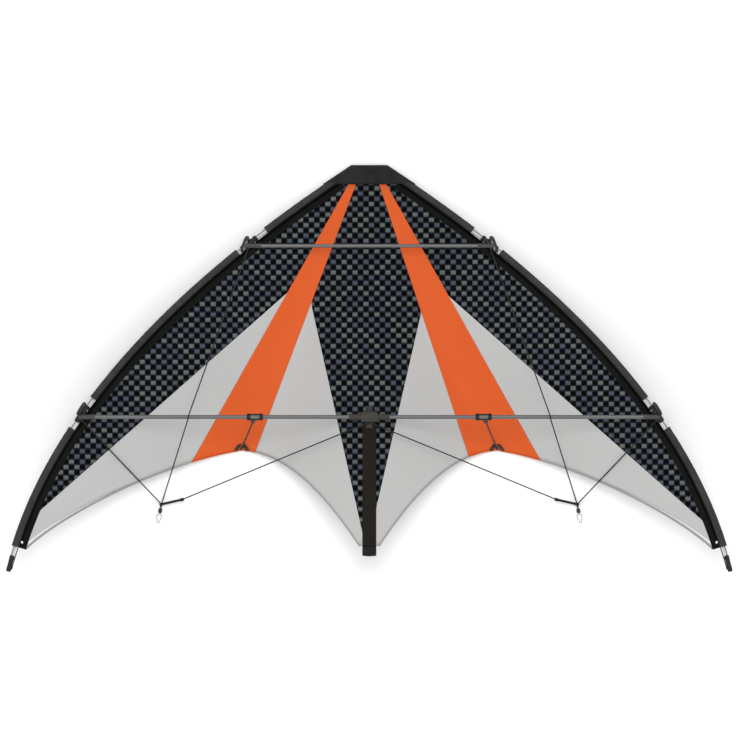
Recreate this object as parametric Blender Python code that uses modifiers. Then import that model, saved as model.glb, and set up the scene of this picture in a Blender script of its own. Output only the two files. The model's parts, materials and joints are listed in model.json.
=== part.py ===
"""A stunt kite, rigged with its bridle and laid on its back.

The kite's own frame has X across the span, Y towards the nose and Z out of the sail's face.
A place on it is named by three lengths in metres: x, then s down the spine from the nose, then
n out of the plane of the leading edges, so that Y is -s and Z is n. Everything hangs under one
empty, which leans the kite back until its nose and its two trailing-edge feet meet the floor.
"""

import math

import bmesh
import bpy
from mathutils import Matrix, Vector

# Which half of the kite a piece belongs to
HALVES = {"left": -1, "right": 1}

# Clearances
FIT = 0.0003
SEAM = 0.0005

# How it rests
REST_TILT = math.radians(13.0)

# Rods
EDGE_ROD_RADIUS = 0.0035
SPINE_RADIUS = 0.0030
UPPER_ROD_RADIUS = 0.0035
LOWER_ROD_RADIUS = 0.0040
SPINE_DEPTH = 0.0048
SPINE_START = 0.010
SPINE_END = 0.774
ROD_LIFT = 0.009
ROD_SIDES = 12

# Leading edge: the cubic that the middle of its rod follows, as (x, s)
EDGE_CURVE = ((0.0292, 0.0055), (0.1844, 0.1094), (0.6236, 0.4007), (0.7194, 0.8100))
EDGE_STEPS = 26
EDGE_ROD_END = 0.9907
SLEEVE_END = 0.9586
NOCK_START = 0.9735
NOCK_RADIUS = 0.0050
NOCK_SLOT = (0.012, 0.002, 0.006)

# Leading-edge sleeve: a round fold over the rod and a flat band sewn to the sail
SLEEVE_RADIUS = 0.0070
SLEEVE_REACH = 0.0240
BAND_HALF = 0.0008
BAND_START = 0.0105
FOLD_MOUTH = math.radians(20)
FOLD_POINTS = 11

# Sail: how deep it is pushed back along the crease that ends at each stand-off
SAIL_THICKNESS = 0.0010
STAND_OFF_CORNER = (0.2544, 0.5690)
SAIL_DEPTH = 0.134
CREASE_ROUNDING = 0.25
TAIL_CORNER = (0.0200, 0.7595)
TRAIL_OUTER = (STAND_OFF_CORNER, (0.3859, 0.5866), (0.6016, 0.6877), (0.6837, 0.7655))
TRAIL_INNER = (STAND_OFF_CORNER, (0.1646, 0.5729), (0.0873, 0.6575), TAIL_CORNER)

# Seams between the panels, each a straight line through two places (x, s)
STRIPE_OUTER = {
    "left": ((0.0456, 0.0458), (0.3293, 0.5478)),
    "right": ((0.0379, 0.0458), (0.3187, 0.5478)),
}
STRIPE_INNER = {
    "left": ((0.0295, 0.0458), (0.2185, 0.5478)),
    "right": ((0.0220, 0.0458), (0.1875, 0.5478)),
}
CENTRE_SEAM = {
    "left": ((0.1087, 0.3088), (0.0078, 0.7590)),
    "right": ((0.1000, 0.3088), (-0.0035, 0.7590)),
}
DIAGONAL_SEAM = {
    "left": ((0.1996, 0.2828), (0.6575, 0.6896)),
    "right": ((0.1856, 0.2817), (0.6425, 0.6893)),
}
SEAM_LEAST = 0.0045

# Nose cover
NOSE_TOP_HALF = 0.036
NOSE_FOOT_HALF = 0.0935
NOSE_LENGTH = 0.0385
NOSE_HALF_THICK = 0.009
NOSE_EDGE = 0.0015
CLOTH_START = NOSE_LENGTH + 0.0004

# Where the spreaders meet the leading edges
JOINTS = {
    "upper": {
        "s": 0.161,
        "rod": UPPER_ROD_RADIUS,
        "lug_size": (0.035, 0.011, 0.007),
        "lug_lean": math.radians(19.5),
        "lug_out": 0.0023,
        "lug_back": 0.0030,
        "lug_lift": 0.0045,
        "cut_length": 0.0710,
        "cut_ahead": 0.0155,
    },
    "lower": {
        "s": 0.502,
        "rod": LOWER_ROD_RADIUS,
        "lug_size": (0.030, 0.009, 0.007),
        "lug_lean": math.radians(32),
        "lug_out": -0.0030,
        "lug_back": 0.0165,
        "lug_lift": 0.0105,
        "cut_length": 0.0726,
        "cut_ahead": 0.0088,
    },
}
CLAMP_RADIUS = 0.0062
CLAMP_AHEAD = 0.0188
CLAMP_BEHIND = 0.012
SOCKET_WALL = 0.0012
SOCKET_LENGTH = 0.030
SOCKET_STOP = 0.003
RING_AHEAD = 0.0234
RING_HALF = 0.004
RING_RADIUS = 0.0065
CUT_OUTSIDE = 0.014
CUT_INSIDE = 0.0070

# Centre fitting, keel strip and tail pocket
CROSS_RADIUS = 0.0062
CROSS_HALF = 0.040
COLLAR_SIZE = (0.034, 0.0205, 0.013)
BARREL_RADIUS = 0.0075
BARREL_HALF = 0.022
NECK_WIDTH = 0.014
WINDOW_HALF = (0.0095, 0.0255)
KEEL_HALF = 0.0135
KEEL_START = 0.529
KEEL_LIFT = 0.0020
KEEL_THICKNESS = 0.0012
TAIL_HALF = 0.0140
TAIL_START = 0.7600
TAIL_END = 0.7800
TAIL_BACK = 0.0105
TAIL_FRONT = 0.0035

# Stand-offs, turning on the lower spreader
SADDLE_X = 0.2278
SADDLE_RADIUS = 0.0072
SADDLE_HALF = 0.016
SADDLE_GAP = (0.018, 0.030, 0.010)
SADDLE_GAP_LIFT = 0.006
HOLDER_RADIUS = 0.0042
HOLDER_END = 0.026
HOLDER_BORE_START = 0.008
STAND_OFF_TIP = (0.2556, 0.5670)
STAND_OFF_TIP_HEIGHT = 0.0045
STAND_OFF_RADIUS = 0.0015
STAND_OFF_CAP_RADIUS = 0.0024
STAND_OFF_CAP_LENGTH = 0.014

# Feet on the trailing edge: a wedge with a notch for the stand-off's tip
FOOT_S = 0.5609
FOOT_APEX = 0.0100
FOOT_APEX_HALF = 0.0025
FOOT_BASE = 0.0107
FOOT_BASE_HALF = 0.0160
NOTCH_APEX = 0.0055
NOTCH_HALF = 0.0090
FOOT_HEIGHT = 0.0095

# Bridle
LINE_RADIUS = 0.0009
TOW_POINT = (0.4149, 0.6763)
TOW_HEIGHT = 0.0072
TOW_SPLAY = math.radians(10.5)
LEG_IN_FROM_EDGE = 0.004
UPPER_LEG_CROSSING = 0.361
WRAP_POINTS = 4
WRAP_STEP = math.radians(14.8)
ADJUSTER_SHARE = 0.90
ADJUSTER_SAG = 0.007
LOOP_RADIUS = 0.0022
KNOT_RADIUS = 0.0036
NECK_RADIUS = 0.0026

# Swivels and line clips, along the tow line from the tow point
SWIVEL_START = 0.0085
SWIVEL_LENGTH = 0.0095
SWIVEL_RADIUS = 0.0040
STEM_RADIUS = 0.0012
STEM_LENGTH = 0.0070
CLIP_START = 0.0192
CLIP_BIG = 0.0060
CLIP_SMALL = 0.0026
CLIP_CENTRES = 0.0118
CLIP_WIRE = 0.0018
CLIP_THICKNESS = 0.0020
CLIP_ARC_POINTS = 9


# The leading edge and the sail as formulas


def cubic(points, t):
    """A place (x, s) on a cubic Bezier curve."""
    a, b, c, d = (Vector(point) for point in points)
    return a * (1 - t) ** 3 + b * 3 * t * (1 - t) ** 2 + c * 3 * t * t * (1 - t) + d * t**3


def edge_point(t):
    return cubic(EDGE_CURVE, t)


def edge_speed(t):
    """How (x, s) changes with t along the leading edge."""
    a, b, c, d = (Vector(point) for point in EDGE_CURVE)
    return (b - a) * 3 * (1 - t) ** 2 + (c - b) * 6 * t * (1 - t) + (d - c) * 3 * t * t


def edge_inward(t):
    """The unit direction from the leading edge into the sail."""
    along = edge_speed(t).normalized()
    return Vector((-along.y, along.x))


def solve(difference, low=0.0, high=1.0):
    """The t at which a rising function crosses zero, by halving."""
    for _ in range(50):
        middle = (low + high) / 2
        if difference(middle) < 0:
            low = middle
        else:
            high = middle
    return (low + high) / 2


def edge_at(s):
    """The t at which the leading edge is s below the nose."""
    return solve(lambda t: edge_point(t).y - s)


def edge_shift(t, distance):
    """The t a short distance further down the leading edge."""
    return t + distance / edge_speed(t).length


def edge_run(first, last):
    """Values of t from first to last, at the leading edge's own stations between them."""
    inner = [k / EDGE_STEPS for k in range(EDGE_STEPS + 1)]
    margin = 0.2 / EDGE_STEPS
    return [first, *(t for t in inner if first + margin < t < last - margin), last]


def sail_height(x, s):
    """The sail's n: zero on the spine and the leading edge, deepest on the crease between."""
    x = abs(x)
    slope = STAND_OFF_CORNER[0] / STAND_OFF_CORNER[1]
    crease = slope * s
    edge = edge_point(edge_at(s)).x
    share = x / crease if x < crease else (edge - x) / (edge - crease)
    soft = math.hypot(1 - share, CREASE_ROUNDING) - CREASE_ROUNDING
    hard = math.hypot(1, CREASE_ROUNDING) - CREASE_ROUNDING
    return -SAIL_DEPTH * s / STAND_OFF_CORNER[1] * (1 - soft / hard)


def band_lean(t):
    """How far the sleeve's band leans back to meet the sail."""
    x, s = edge_point(t) + edge_inward(t) * SLEEVE_REACH
    return math.atan2(-sail_height(x, s), SLEEVE_REACH)


def cloth_edge(t):
    """Where the sail's own cloth ends beside the sleeve."""
    reach = SLEEVE_REACH * math.cos(band_lean(t)) + SEAM
    return edge_point(t) + edge_inward(t) * reach


def floor_height(s):
    """The n of the floor under a place s below the nose."""
    return -NOSE_HALF_THICK - s * math.tan(REST_TILT)


def seam_line(seam, s):
    (x_top, s_top), (x_foot, s_foot) = seam
    return x_top + (x_foot - x_top) * (s - s_top) / (s_foot - s_top)


def seam_x(seam, s):
    """The seam's x, kept off the spine."""
    return max(seam_line(seam, s), SEAM_LEAST)


def seam_place(seam, s, shift=0.0):
    return Vector((seam_x(seam, s) + shift, s))


def seam_crossing(first, second):
    """The s at which two seams cross."""
    gap = seam_line(first, 0) - seam_line(second, 0)
    closing = seam_line(second, 1) - seam_line(second, 0) - seam_line(first, 1) + seam_line(first, 0)
    return gap / closing


# Scene helpers


def clear_scene():
    for obj in list(bpy.data.objects):
        bpy.data.objects.remove(obj, do_unlink=True)


def new_collection(name):
    collection = bpy.data.collections.new(name)
    bpy.context.scene.collection.children.link(collection)
    return collection


def make_material(name, colour, roughness, metallic=0.0):
    material = bpy.data.materials.new(name)
    material.use_nodes = True
    shader = material.node_tree.nodes["Principled BSDF"]
    shader.inputs["Base Color"].default_value = (*colour, 1)
    shader.inputs["Roughness"].default_value = roughness
    shader.inputs["Metallic"].default_value = metallic
    return material


def place(x, s, n):
    """A place of the kite as a vector in its own frame."""
    return Vector((x, -s, n))


def link(obj, home, parent, material=None):
    home.objects.link(obj)
    obj.parent = parent
    if material:
        obj.data.materials.append(material)
    return obj


def mesh_object(name, bm):
    mesh = bpy.data.meshes.new(name)
    bm.to_mesh(mesh)
    bm.free()
    return bpy.data.objects.new(name, mesh)


def smooth(obj, angle=35):
    obj.data.shade_smooth()
    obj.data.set_sharp_from_angle(angle=math.radians(angle))
    return obj


def along(start, end):
    """A transform that carries local Z from start towards end."""
    turn = (end - start).to_track_quat("Z", "Y")
    return Matrix.Translation((start + end) / 2) @ turn.to_matrix().to_4x4()


def bar(name, start, end, radius, sides=ROD_SIDES):
    """A round bar between two places."""
    bm = bmesh.new()
    length = (end - start).length
    bmesh.ops.create_cone(
        bm, cap_ends=True, segments=sides, radius1=radius, radius2=radius, depth=length
    )
    obj = smooth(mesh_object(name, bm))
    obj.matrix_basis = along(start, end)
    return obj


def block(name, size, middle, turn=0.0):
    """A box of the given size about its middle, turned about its own Z."""
    bm = bmesh.new()
    bmesh.ops.create_cube(bm, size=1, matrix=Matrix.Diagonal((*size, 1)))
    obj = mesh_object(name, bm)
    obj.matrix_basis = Matrix.Translation(middle) @ Matrix.Rotation(turn, 4, "Z")
    return obj


def ball(name, middle, radius):
    bm = bmesh.new()
    bmesh.ops.create_uvsphere(bm, u_segments=10, v_segments=7, radius=radius)
    obj = smooth(mesh_object(name, bm))
    obj.matrix_basis = Matrix.Translation(middle)
    return obj


def curve_object(name, points, radius=0.0, tilts=None):
    """A curve through the points, round where a radius is given."""
    data = bpy.data.curves.new(name, "CURVE")
    data.dimensions = "3D"
    data.bevel_depth = radius
    data.bevel_resolution = 2
    data.use_fill_caps = True
    spline = data.splines.new("POLY")
    spline.points.add(len(points) - 1)
    for index, point in enumerate(points):
        spline.points[index].co = (*point, 1)
        spline.points[index].tilt = tilts[index] if tilts else 0
    return bpy.data.objects.new(name, data)


def outline_object(name, outlines, thickness):
    """A flat plate from closed outlines; a second outline cuts a hole in the first."""
    data = bpy.data.curves.new(name, "CURVE")
    data.dimensions = "2D"
    data.fill_mode = "BOTH"
    data.extrude = thickness / 2
    for outline in outlines:
        spline = data.splines.new("POLY")
        spline.use_cyclic_u = True
        spline.points.add(len(outline) - 1)
        for point, (x, y) in zip(spline.points, outline):
            point.co = (x, y, 0, 1)
    return bpy.data.objects.new(name, data)


def as_mesh(curve):
    """The curve's surface as a mesh object, its caps welded to its sides."""
    bpy.context.scene.collection.objects.link(curve)
    graph = bpy.context.evaluated_depsgraph_get()
    mesh = bpy.data.meshes.new_from_object(curve.evaluated_get(graph))
    name = curve.name
    bpy.data.objects.remove(curve, do_unlink=True)
    bm = bmesh.new()
    bm.from_mesh(mesh)
    bmesh.ops.remove_doubles(bm, verts=bm.verts, dist=0.00001)
    bmesh.ops.recalc_face_normals(bm, faces=bm.faces)
    bm.to_mesh(mesh)
    bm.free()
    return bpy.data.objects.new(name, mesh)


def turned(name, profile, steps=ROD_SIDES):
    """A solid of revolution about local Z, from (radius, height) pairs, top to bottom."""
    bm = bmesh.new()
    ring = [bm.verts.new((radius, 0, height)) for radius, height in profile]
    for upper, lower in zip(ring, ring[1:]):
        bm.edges.new((upper, lower))
    obj = mesh_object(name, bm)
    screw = obj.modifiers.new("turn", "SCREW")
    screw.steps = steps
    screw.render_steps = steps
    screw.use_merge_vertices = True
    screw.merge_threshold = 0.00001
    return obj


def combine(obj, other, operation, tools, parent):
    """Joins another solid to the object, or cuts it away."""
    other.name = f"{obj.name}_{other.name}"
    link(other, tools, parent)
    other.hide_render = True
    other.display_type = "WIRE"
    boolean = obj.modifiers.new(other.name, "BOOLEAN")
    boolean.operation = operation
    boolean.object = other
    return obj


def round_edges(obj, width, segments=2):
    bevel = obj.modifiers.new("edges", "BEVEL")
    bevel.width = width
    bevel.segments = segments
    bevel.limit_method = "ANGLE"
    return obj


class Kite:
    """Where the kite's pieces go, and what they are made of."""

    def __init__(self):
        self.parts = new_collection("stunt_kite")
        self.tools = new_collection("cutters")
        self.frame = bpy.data.objects.new("kite_frame", None)
        self.parts.objects.link(self.frame)
        self.frame.rotation_euler = (-REST_TILT, 0, 0)
        self.materials = {
            "carbon_cloth": make_material("carbon_cloth", (0.035, 0.042, 0.05), 0.45),
            "grey_cloth": make_material("grey_cloth", (0.55, 0.55, 0.54), 0.55),
            "orange_cloth": make_material("orange_cloth", (0.87, 0.13, 0.02), 0.5),
            "sleeve_cloth": make_material("sleeve_cloth", (0.012, 0.012, 0.011), 0.6),
            "webbing": make_material("webbing", (0.01, 0.01, 0.01), 0.7),
            "keel_tape": make_material("keel_tape", (0.022, 0.018, 0.016), 0.6),
            "edge_rod": make_material("edge_rod", (0.5, 0.5, 0.5), 0.35),
            "spreader_rod": make_material("spreader_rod", (0.22, 0.22, 0.23), 0.3),
            "vinyl": make_material("vinyl", (0.02, 0.02, 0.02), 0.4),
            "centre_vinyl": make_material("centre_vinyl", (0.05, 0.048, 0.045), 0.5),
            "bridle_line": make_material("bridle_line", (0.04, 0.045, 0.04), 0.8),
            "steel": make_material("steel", (0.55, 0.56, 0.56), 0.25, 1.0),
        }

    def add(self, obj, material, parent=None):
        return link(obj, self.parts, parent or self.frame, self.materials[material])

    def cut(self, obj, cutter, parent=None):
        return combine(obj, cutter, "DIFFERENCE", self.tools, parent or self.frame)

    def join(self, obj, other, parent=None):
        return combine(obj, other, "UNION", self.tools, parent or self.frame)


# Leading edges


def edge_places(side, first, last):
    return [place(side * x, s, 0) for x, s in map(edge_point, edge_run(first, last))]


def edge_tube(name, side, first, last, radius):
    """A round tube that follows the leading edge."""
    return smooth(as_mesh(curve_object(name, edge_places(side, first, last), radius)))


def edge_bore(side):
    """The hole that the leading-edge rod needs in whatever it passes through."""
    return edge_tube("bore", side, -0.004, EDGE_ROD_END + 0.001, EDGE_ROD_RADIUS + FIT)


def edge_rod(kite, half, side):
    obj = edge_tube(f"{half}_leading_edge_rod", side, 0.0, EDGE_ROD_END, EDGE_ROD_RADIUS)
    kite.add(obj, "edge_rod")


def sleeve_profile(side):
    """The sleeve's section about the rod: u runs into the sail, w out of its face."""
    turn = (2 * math.pi - 2 * FOLD_MOUTH) / (FOLD_POINTS - 1)
    angles = [FOLD_MOUTH + k * turn for k in range(FOLD_POINTS)]
    fold = [(SLEEVE_RADIUS * math.cos(a), SLEEVE_RADIUS * math.sin(a)) for a in angles]
    band_end = [(SLEEVE_REACH, -BAND_HALF), (SLEEVE_REACH, BAND_HALF)]
    corners = band_end + [(BAND_START, BAND_HALF)] + fold + [(BAND_START, -BAND_HALF)]
    return outline_object("sleeve_section", [[(side * u, w) for u, w in corners]], 0)


def sleeve_cut(side, joint):
    """The window in the fold where a spreader's connector grips the rod."""
    t = edge_shift(edge_at(joint["s"]), -joint["cut_ahead"])
    inward = edge_inward(t)
    middle = edge_point(t) + inward * (CUT_INSIDE - CUT_OUTSIDE) / 2
    turn = math.atan2(-inward.y, side * inward.x)
    size = (CUT_INSIDE + CUT_OUTSIDE, joint["cut_length"], 4 * SLEEVE_RADIUS)
    return block("window", size, place(side * middle.x, middle.y, 0), turn)


def edge_sleeve(kite, half, side):
    stations = edge_run(0.01, SLEEVE_END)
    places = [place(side * x, s, 0) for x, s in map(edge_point, stations)]
    path = curve_object(
        f"{half}_leading_edge_sleeve", places, tilts=[side * band_lean(t) for t in stations]
    )
    path.data.twist_mode = "Z_UP"
    path.data.bevel_mode = "OBJECT"
    section = sleeve_profile(side)
    path.data.bevel_object = section
    obj = kite.add(smooth(as_mesh(path)), "sleeve_cloth")
    bpy.data.objects.remove(section, do_unlink=True)
    kite.cut(obj, edge_bore(side))
    for joint in JOINTS.values():
        kite.cut(obj, sleeve_cut(side, joint))
    kite.cut(obj, block("nose_end", (0.4, 2 * CLOTH_START, 0.05), place(0, 0, 0)))


def wing_tip_nock(kite, half, side):
    obj = edge_tube(f"{half}_wing_tip_nock", side, NOCK_START, 1.0, NOCK_RADIUS)
    kite.add(obj, "vinyl")
    kite.cut(obj, edge_bore(side))
    end = edge_point(1.0)
    ahead = edge_speed(1.0)
    width, gap, depth = NOCK_SLOT
    turn = math.atan2(-ahead.y, side * ahead.x)
    kite.cut(obj, block("slot", (2 * depth, gap, width), place(side * end.x, end.y, 0), turn))


def edge_connector(kite, half, side, row, joint):
    """A moulded connector: a clamp on the rod, a lug, and a socket for the spreader's end."""
    t = edge_at(joint["s"])
    start, end = edge_shift(t, -CLAMP_AHEAD), edge_shift(t, CLAMP_BEHIND)
    obj = edge_tube(f"{half}_{row}_edge_connector", side, start, end, CLAMP_RADIUS)
    kite.add(obj, "vinyl")
    x, s = edge_point(t)
    mouth = place(side * (x - SOCKET_LENGTH), s, ROD_LIFT)
    closed = place(side * (x + SOCKET_STOP), s, ROD_LIFT)
    stop = place(side * (x - SOCKET_STOP), s, ROD_LIFT)
    beyond = place(side * (x - 2 * SOCKET_LENGTH), s, ROD_LIFT)
    kite.join(obj, bar("socket", closed, mouth, joint["rod"] + SOCKET_WALL))
    kite.join(obj, connector_lug(side, x, s, joint))
    kite.cut(obj, edge_bore(side))
    kite.cut(obj, bar("socket_bore", stop, beyond, joint["rod"] + FIT))


def stadium(length, width, points=5):
    """A flat outline with round ends, long along Y."""
    straight = (length - width) / 2
    outline = []
    for k in range(2 * points):
        angle = math.pi * (k if k < points else k - 1) / (points - 1)
        offset = straight if k < points else -straight
        outline.append((width / 2 * math.cos(angle), width / 2 * math.sin(angle) + offset))
    return outline


def connector_lug(side, x, s, joint):
    length, width, thickness = joint["lug_size"]
    lug = as_mesh(outline_object("lug", [stadium(length, width)], thickness))
    middle = place(side * (x + joint["lug_out"]), s - joint["lug_back"], joint["lug_lift"])
    turn = Matrix.Rotation(side * joint["lug_lean"], 4, "Z")
    lug.matrix_basis = Matrix.Translation(middle) @ turn
    return lug


def stopper_ring(kite, half, side, row, joint):
    t = edge_shift(edge_at(joint["s"]), -RING_AHEAD)
    start, end = edge_shift(t, -RING_HALF), edge_shift(t, RING_HALF)
    obj = edge_tube(f"{half}_{row}_stopper_ring", side, start, end, RING_RADIUS)
    kite.add(obj, "vinyl")
    kite.cut(obj, edge_bore(side))


# Sail panels


def straight(start, end):
    return lambda w: start.lerp(end, w)


def trail_run(curve, first, last):
    return lambda w: cubic(curve, first + (last - first) * w)


def seam_run(seam, first, last, shift):
    return lambda w: seam_place(seam, first + (last - first) * w, shift)


def edge_side(first, last):
    return lambda w: cloth_edge(first + (last - first) * w)


def joined(first, second, share):
    """Two boundary runs end to end, the first taking this share of the way."""
    return lambda w: first(w / share) if w < share else second((w - share) / (1 - share))


def patch(left, right, top, bottom):
    """A Coons patch: any place inside four boundary runs that meet at their corners."""

    def at(u, v):
        across = left(v).lerp(right(v), u)
        down = top(u).lerp(bottom(u), v)
        corners = top(0).lerp(top(1), u).lerp(bottom(0).lerp(bottom(1), u), v)
        return across + down - corners

    return at


def cloth(name, side, at, columns, rows, lift=0.0, thickness=SAIL_THICKNESS):
    """A sheet of cloth on the sail's surface: at(u, v) gives its places (x, s)."""
    bm = bmesh.new()
    bmesh.ops.create_grid(bm, x_segments=columns, y_segments=rows, size=0.5)
    for vert in bm.verts:
        x, s = at(vert.co.x + 0.5, 0.5 - vert.co.y)
        vert.co = place(side * x, s, sail_height(x, s) + lift)
    bmesh.ops.remove_doubles(bm, verts=bm.verts, dist=0.00001)
    bmesh.ops.recalc_face_normals(bm, faces=bm.faces)
    if sum(face.normal.z for face in bm.faces) < 0:
        bmesh.ops.reverse_faces(bm, faces=bm.faces)
    obj = smooth(mesh_object(name, bm))
    solid = obj.modifiers.new("thickness", "SOLIDIFY")
    solid.thickness = thickness
    solid.offset = 0
    return obj


def trail_meets(curve, seam, rising, shift=0.0):
    """The t at which the trailing edge crosses a seam."""
    sign = 1 if rising else -1

    def past(t):
        x, s = cubic(curve, t)
        return sign * (x - seam_x(seam, s) - shift)

    return solve(past)


def centre_half_width(half, s):
    """How far the centre panel reaches from the spine on one half."""
    apex = seam_crossing(STRIPE_INNER[half], CENTRE_SEAM[half])
    seam = STRIPE_INNER[half] if s < apex else CENTRE_SEAM[half]
    return seam_x(seam, s) - SEAM / 2


def centre_panel(kite):
    """One sheet over the spine, folded along it, with a window for the centre fitting."""
    foot = TAIL_CORNER[1]

    def at(u, v):
        s = CLOTH_START + (foot - CLOTH_START) * v
        half = "left" if u < 0.5 else "right"
        return Vector(((2 * u - 1) * centre_half_width(half, s), s))

    obj = kite.add(cloth("centre_sail_panel", 1, at, 8, 24), "carbon_cloth")
    half_x, half_s = WINDOW_HALF
    middle = place(0, JOINTS["lower"]["s"], 0)
    kite.cut(obj, block("window", (2 * half_x, 2 * half_s, 0.06), middle))


def inner_panel(kite, half, side):
    columns = 8
    stripe, centre = STRIPE_INNER[half], CENTRE_SEAM[half]
    apex = seam_crossing(stripe, centre) + SEAM
    corner = trail_meets(TRAIL_INNER, stripe, False, -SEAM / 2)
    left = seam_run(centre, apex, TAIL_CORNER[1], SEAM / 2)
    right = straight(left(0), cubic(TRAIL_INNER, corner))
    foot = straight(left(1), Vector(TAIL_CORNER))
    bottom = joined(foot, trail_run(TRAIL_INNER, 1.0, corner), 1 / columns)
    at = patch(left, right, straight(left(0), left(0)), bottom)
    kite.add(cloth(f"{half}_inner_sail_panel", side, at, columns, 9), "grey_cloth")


def edge_below_nose():
    """The t at which the cloth's edge comes out from under the nose cover."""
    return solve(lambda t: cloth_edge(t).y - CLOTH_START, 0.0, 0.3)


def stripe_leaves_edge(half):
    """The t at which a stripe's outer seam leaves the cloth's edge."""
    seam = STRIPE_OUTER[half]
    return solve(lambda t: cloth_edge(t).x - seam_x(seam, cloth_edge(t).y), 0.0, 0.3)


def stripe_outer_run(half, foot, rows):
    """The stripe's outer side, along the cloth's edge where the sleeve is in its way."""
    start, leave = edge_below_nose(), stripe_leaves_edge(half)
    if leave < start:
        return straight(seam_place(STRIPE_OUTER[half], CLOTH_START, -SEAM / 2), foot)
    turn = seam_place(STRIPE_OUTER[half], cloth_edge(leave).y, -SEAM / 2)
    return joined(straight(cloth_edge(start), turn), straight(turn, foot), 1 / rows)


def stripe_panel(kite, half, side):
    rows = 14
    inner_end = trail_meets(TRAIL_INNER, STRIPE_INNER[half], False, SEAM / 2)
    outer_end = trail_meets(TRAIL_OUTER, STRIPE_OUTER[half], True, -SEAM / 2)
    inner_top = seam_place(STRIPE_INNER[half], CLOTH_START, SEAM / 2)
    inner_foot, outer_foot = cubic(TRAIL_INNER, inner_end), cubic(TRAIL_OUTER, outer_end)
    to_corner = trail_run(TRAIL_INNER, inner_end, 0.0)
    from_corner = trail_run(TRAIL_OUTER, 0.0, outer_end)
    bottom = joined(to_corner, from_corner, 0.5)
    left, right = straight(inner_top, inner_foot), stripe_outer_run(half, outer_foot, rows)
    at = patch(left, right, straight(inner_top, right(0)), bottom)
    obj = kite.add(cloth(f"{half}_stripe_panel", side, at, 6, rows), "orange_cloth")
    kite.cut(obj, foot_cutter(side))


def outer_panel(kite, half, side):
    stripe, diagonal = STRIPE_OUTER[half], DIAGONAL_SEAM[half]
    apex = seam_crossing(stripe, diagonal)
    corner = trail_meets(TRAIL_OUTER, stripe, True, SEAM / 2)
    tip = seam_place(stripe, apex + 2 * SEAM, SEAM / 2)
    meet = solve(lambda t: cloth_edge(t).y - seam_of_edge(diagonal, t), 0.5, SLEEVE_END)
    last = SLEEVE_END - 0.006
    left = straight(tip, cubic(TRAIL_OUTER, corner))
    right = edge_side(meet, last)
    top = straight(tip, cloth_edge(meet))
    end_gap = cloth_edge(last) - Vector(TRAIL_OUTER[3])
    run = trail_run(TRAIL_OUTER, corner, 1.0)
    at = patch(left, right, top, lambda w: run(w) + end_gap * w)
    kite.add(cloth(f"{half}_outer_sail_panel", side, at, 12, 6), "grey_cloth")


def seam_of_edge(diagonal, t):
    """The s at which a diagonal seam reaches the x of the cloth's edge."""
    (x_top, s_top), (x_foot, s_foot) = diagonal
    return s_top + (cloth_edge(t).x + SEAM - x_top) * (s_foot - s_top) / (x_foot - x_top)


def tip_panel(kite, half, side):
    """The dark panel along the leading edge, from the nose to the wing."""
    stripe, diagonal = STRIPE_OUTER[half], DIAGONAL_SEAM[half]
    apex = seam_crossing(stripe, diagonal)
    top_end = max(edge_below_nose(), edge_shift(stripe_leaves_edge(half), 2 * SEAM))
    meet = solve(lambda t: cloth_edge(t).y - seam_of_edge(diagonal, t), 0.5, SLEEVE_END)
    meet = edge_shift(meet, -4 * SEAM)
    inner_top = seam_place(stripe, cloth_edge(top_end).y, SEAM / 2)
    inner_foot = seam_place(stripe, apex - 2 * SEAM, SEAM / 2)
    left = straight(inner_top, inner_foot)
    right = edge_side(top_end, meet)
    top = straight(inner_top, cloth_edge(top_end))
    bottom = straight(inner_foot, cloth_edge(meet))
    at = patch(left, right, top, bottom)
    kite.add(cloth(f"{half}_tip_sail_panel", side, at, 6, 16), "carbon_cloth")


# Nose, spine, centre fitting and tail


def nose_cover(kite):
    corners = [
        (-NOSE_TOP_HALF, 0),
        (-NOSE_FOOT_HALF, -NOSE_LENGTH),
        (NOSE_FOOT_HALF, -NOSE_LENGTH),
        (NOSE_TOP_HALF, 0),
    ]
    obj = as_mesh(outline_object("nose_cover", [corners], 2 * NOSE_HALF_THICK))
    kite.add(round_edges(obj, NOSE_EDGE), "webbing")
    for side in HALVES.values():
        kite.cut(obj, edge_bore(side))
    kite.cut(obj, spine_bore(SPINE_START - FIT, 0.1))


def spine_bore(start, end):
    radius = SPINE_RADIUS + FIT
    return bar("spine_bore", place(0, start, -SPINE_DEPTH), place(0, end, -SPINE_DEPTH), radius)


def spine_rod(kite):
    start, end = place(0, SPINE_START, -SPINE_DEPTH), place(0, SPINE_END, -SPINE_DEPTH)
    kite.add(bar("spine_rod", start, end, SPINE_RADIUS), "spreader_rod")


def centre_fitting(kite):
    """A moulded cross: a tube for the lower spreaders, a neck, and a barrel on the spine."""
    s = JOINTS["lower"]["s"]
    left, right = place(-CROSS_HALF, s, ROD_LIFT), place(CROSS_HALF, s, ROD_LIFT)
    obj = kite.add(bar("centre_fitting", left, right, CROSS_RADIUS), "centre_vinyl")
    collar = block("collar", COLLAR_SIZE, place(0, s, ROD_LIFT))
    kite.join(obj, round_edges(collar, 0.002))
    neck_size = (NECK_WIDTH, COLLAR_SIZE[1] - 0.001, ROD_LIFT + SPINE_DEPTH)
    neck_middle = place(0, s, (ROD_LIFT - SPINE_DEPTH) / 2)
    kite.join(obj, block("neck", neck_size, neck_middle))
    top, foot = place(0, s - BARREL_HALF, -SPINE_DEPTH), place(0, s + BARREL_HALF, -SPINE_DEPTH)
    kite.join(obj, bar("barrel", top, foot, BARREL_RADIUS))
    ends = place(-0.1, s, ROD_LIFT), place(0.1, s, ROD_LIFT)
    kite.cut(obj, bar("rod_bore", *ends, LOWER_ROD_RADIUS + FIT))
    kite.cut(obj, spine_bore(s - 0.05, s + 0.05))


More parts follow.
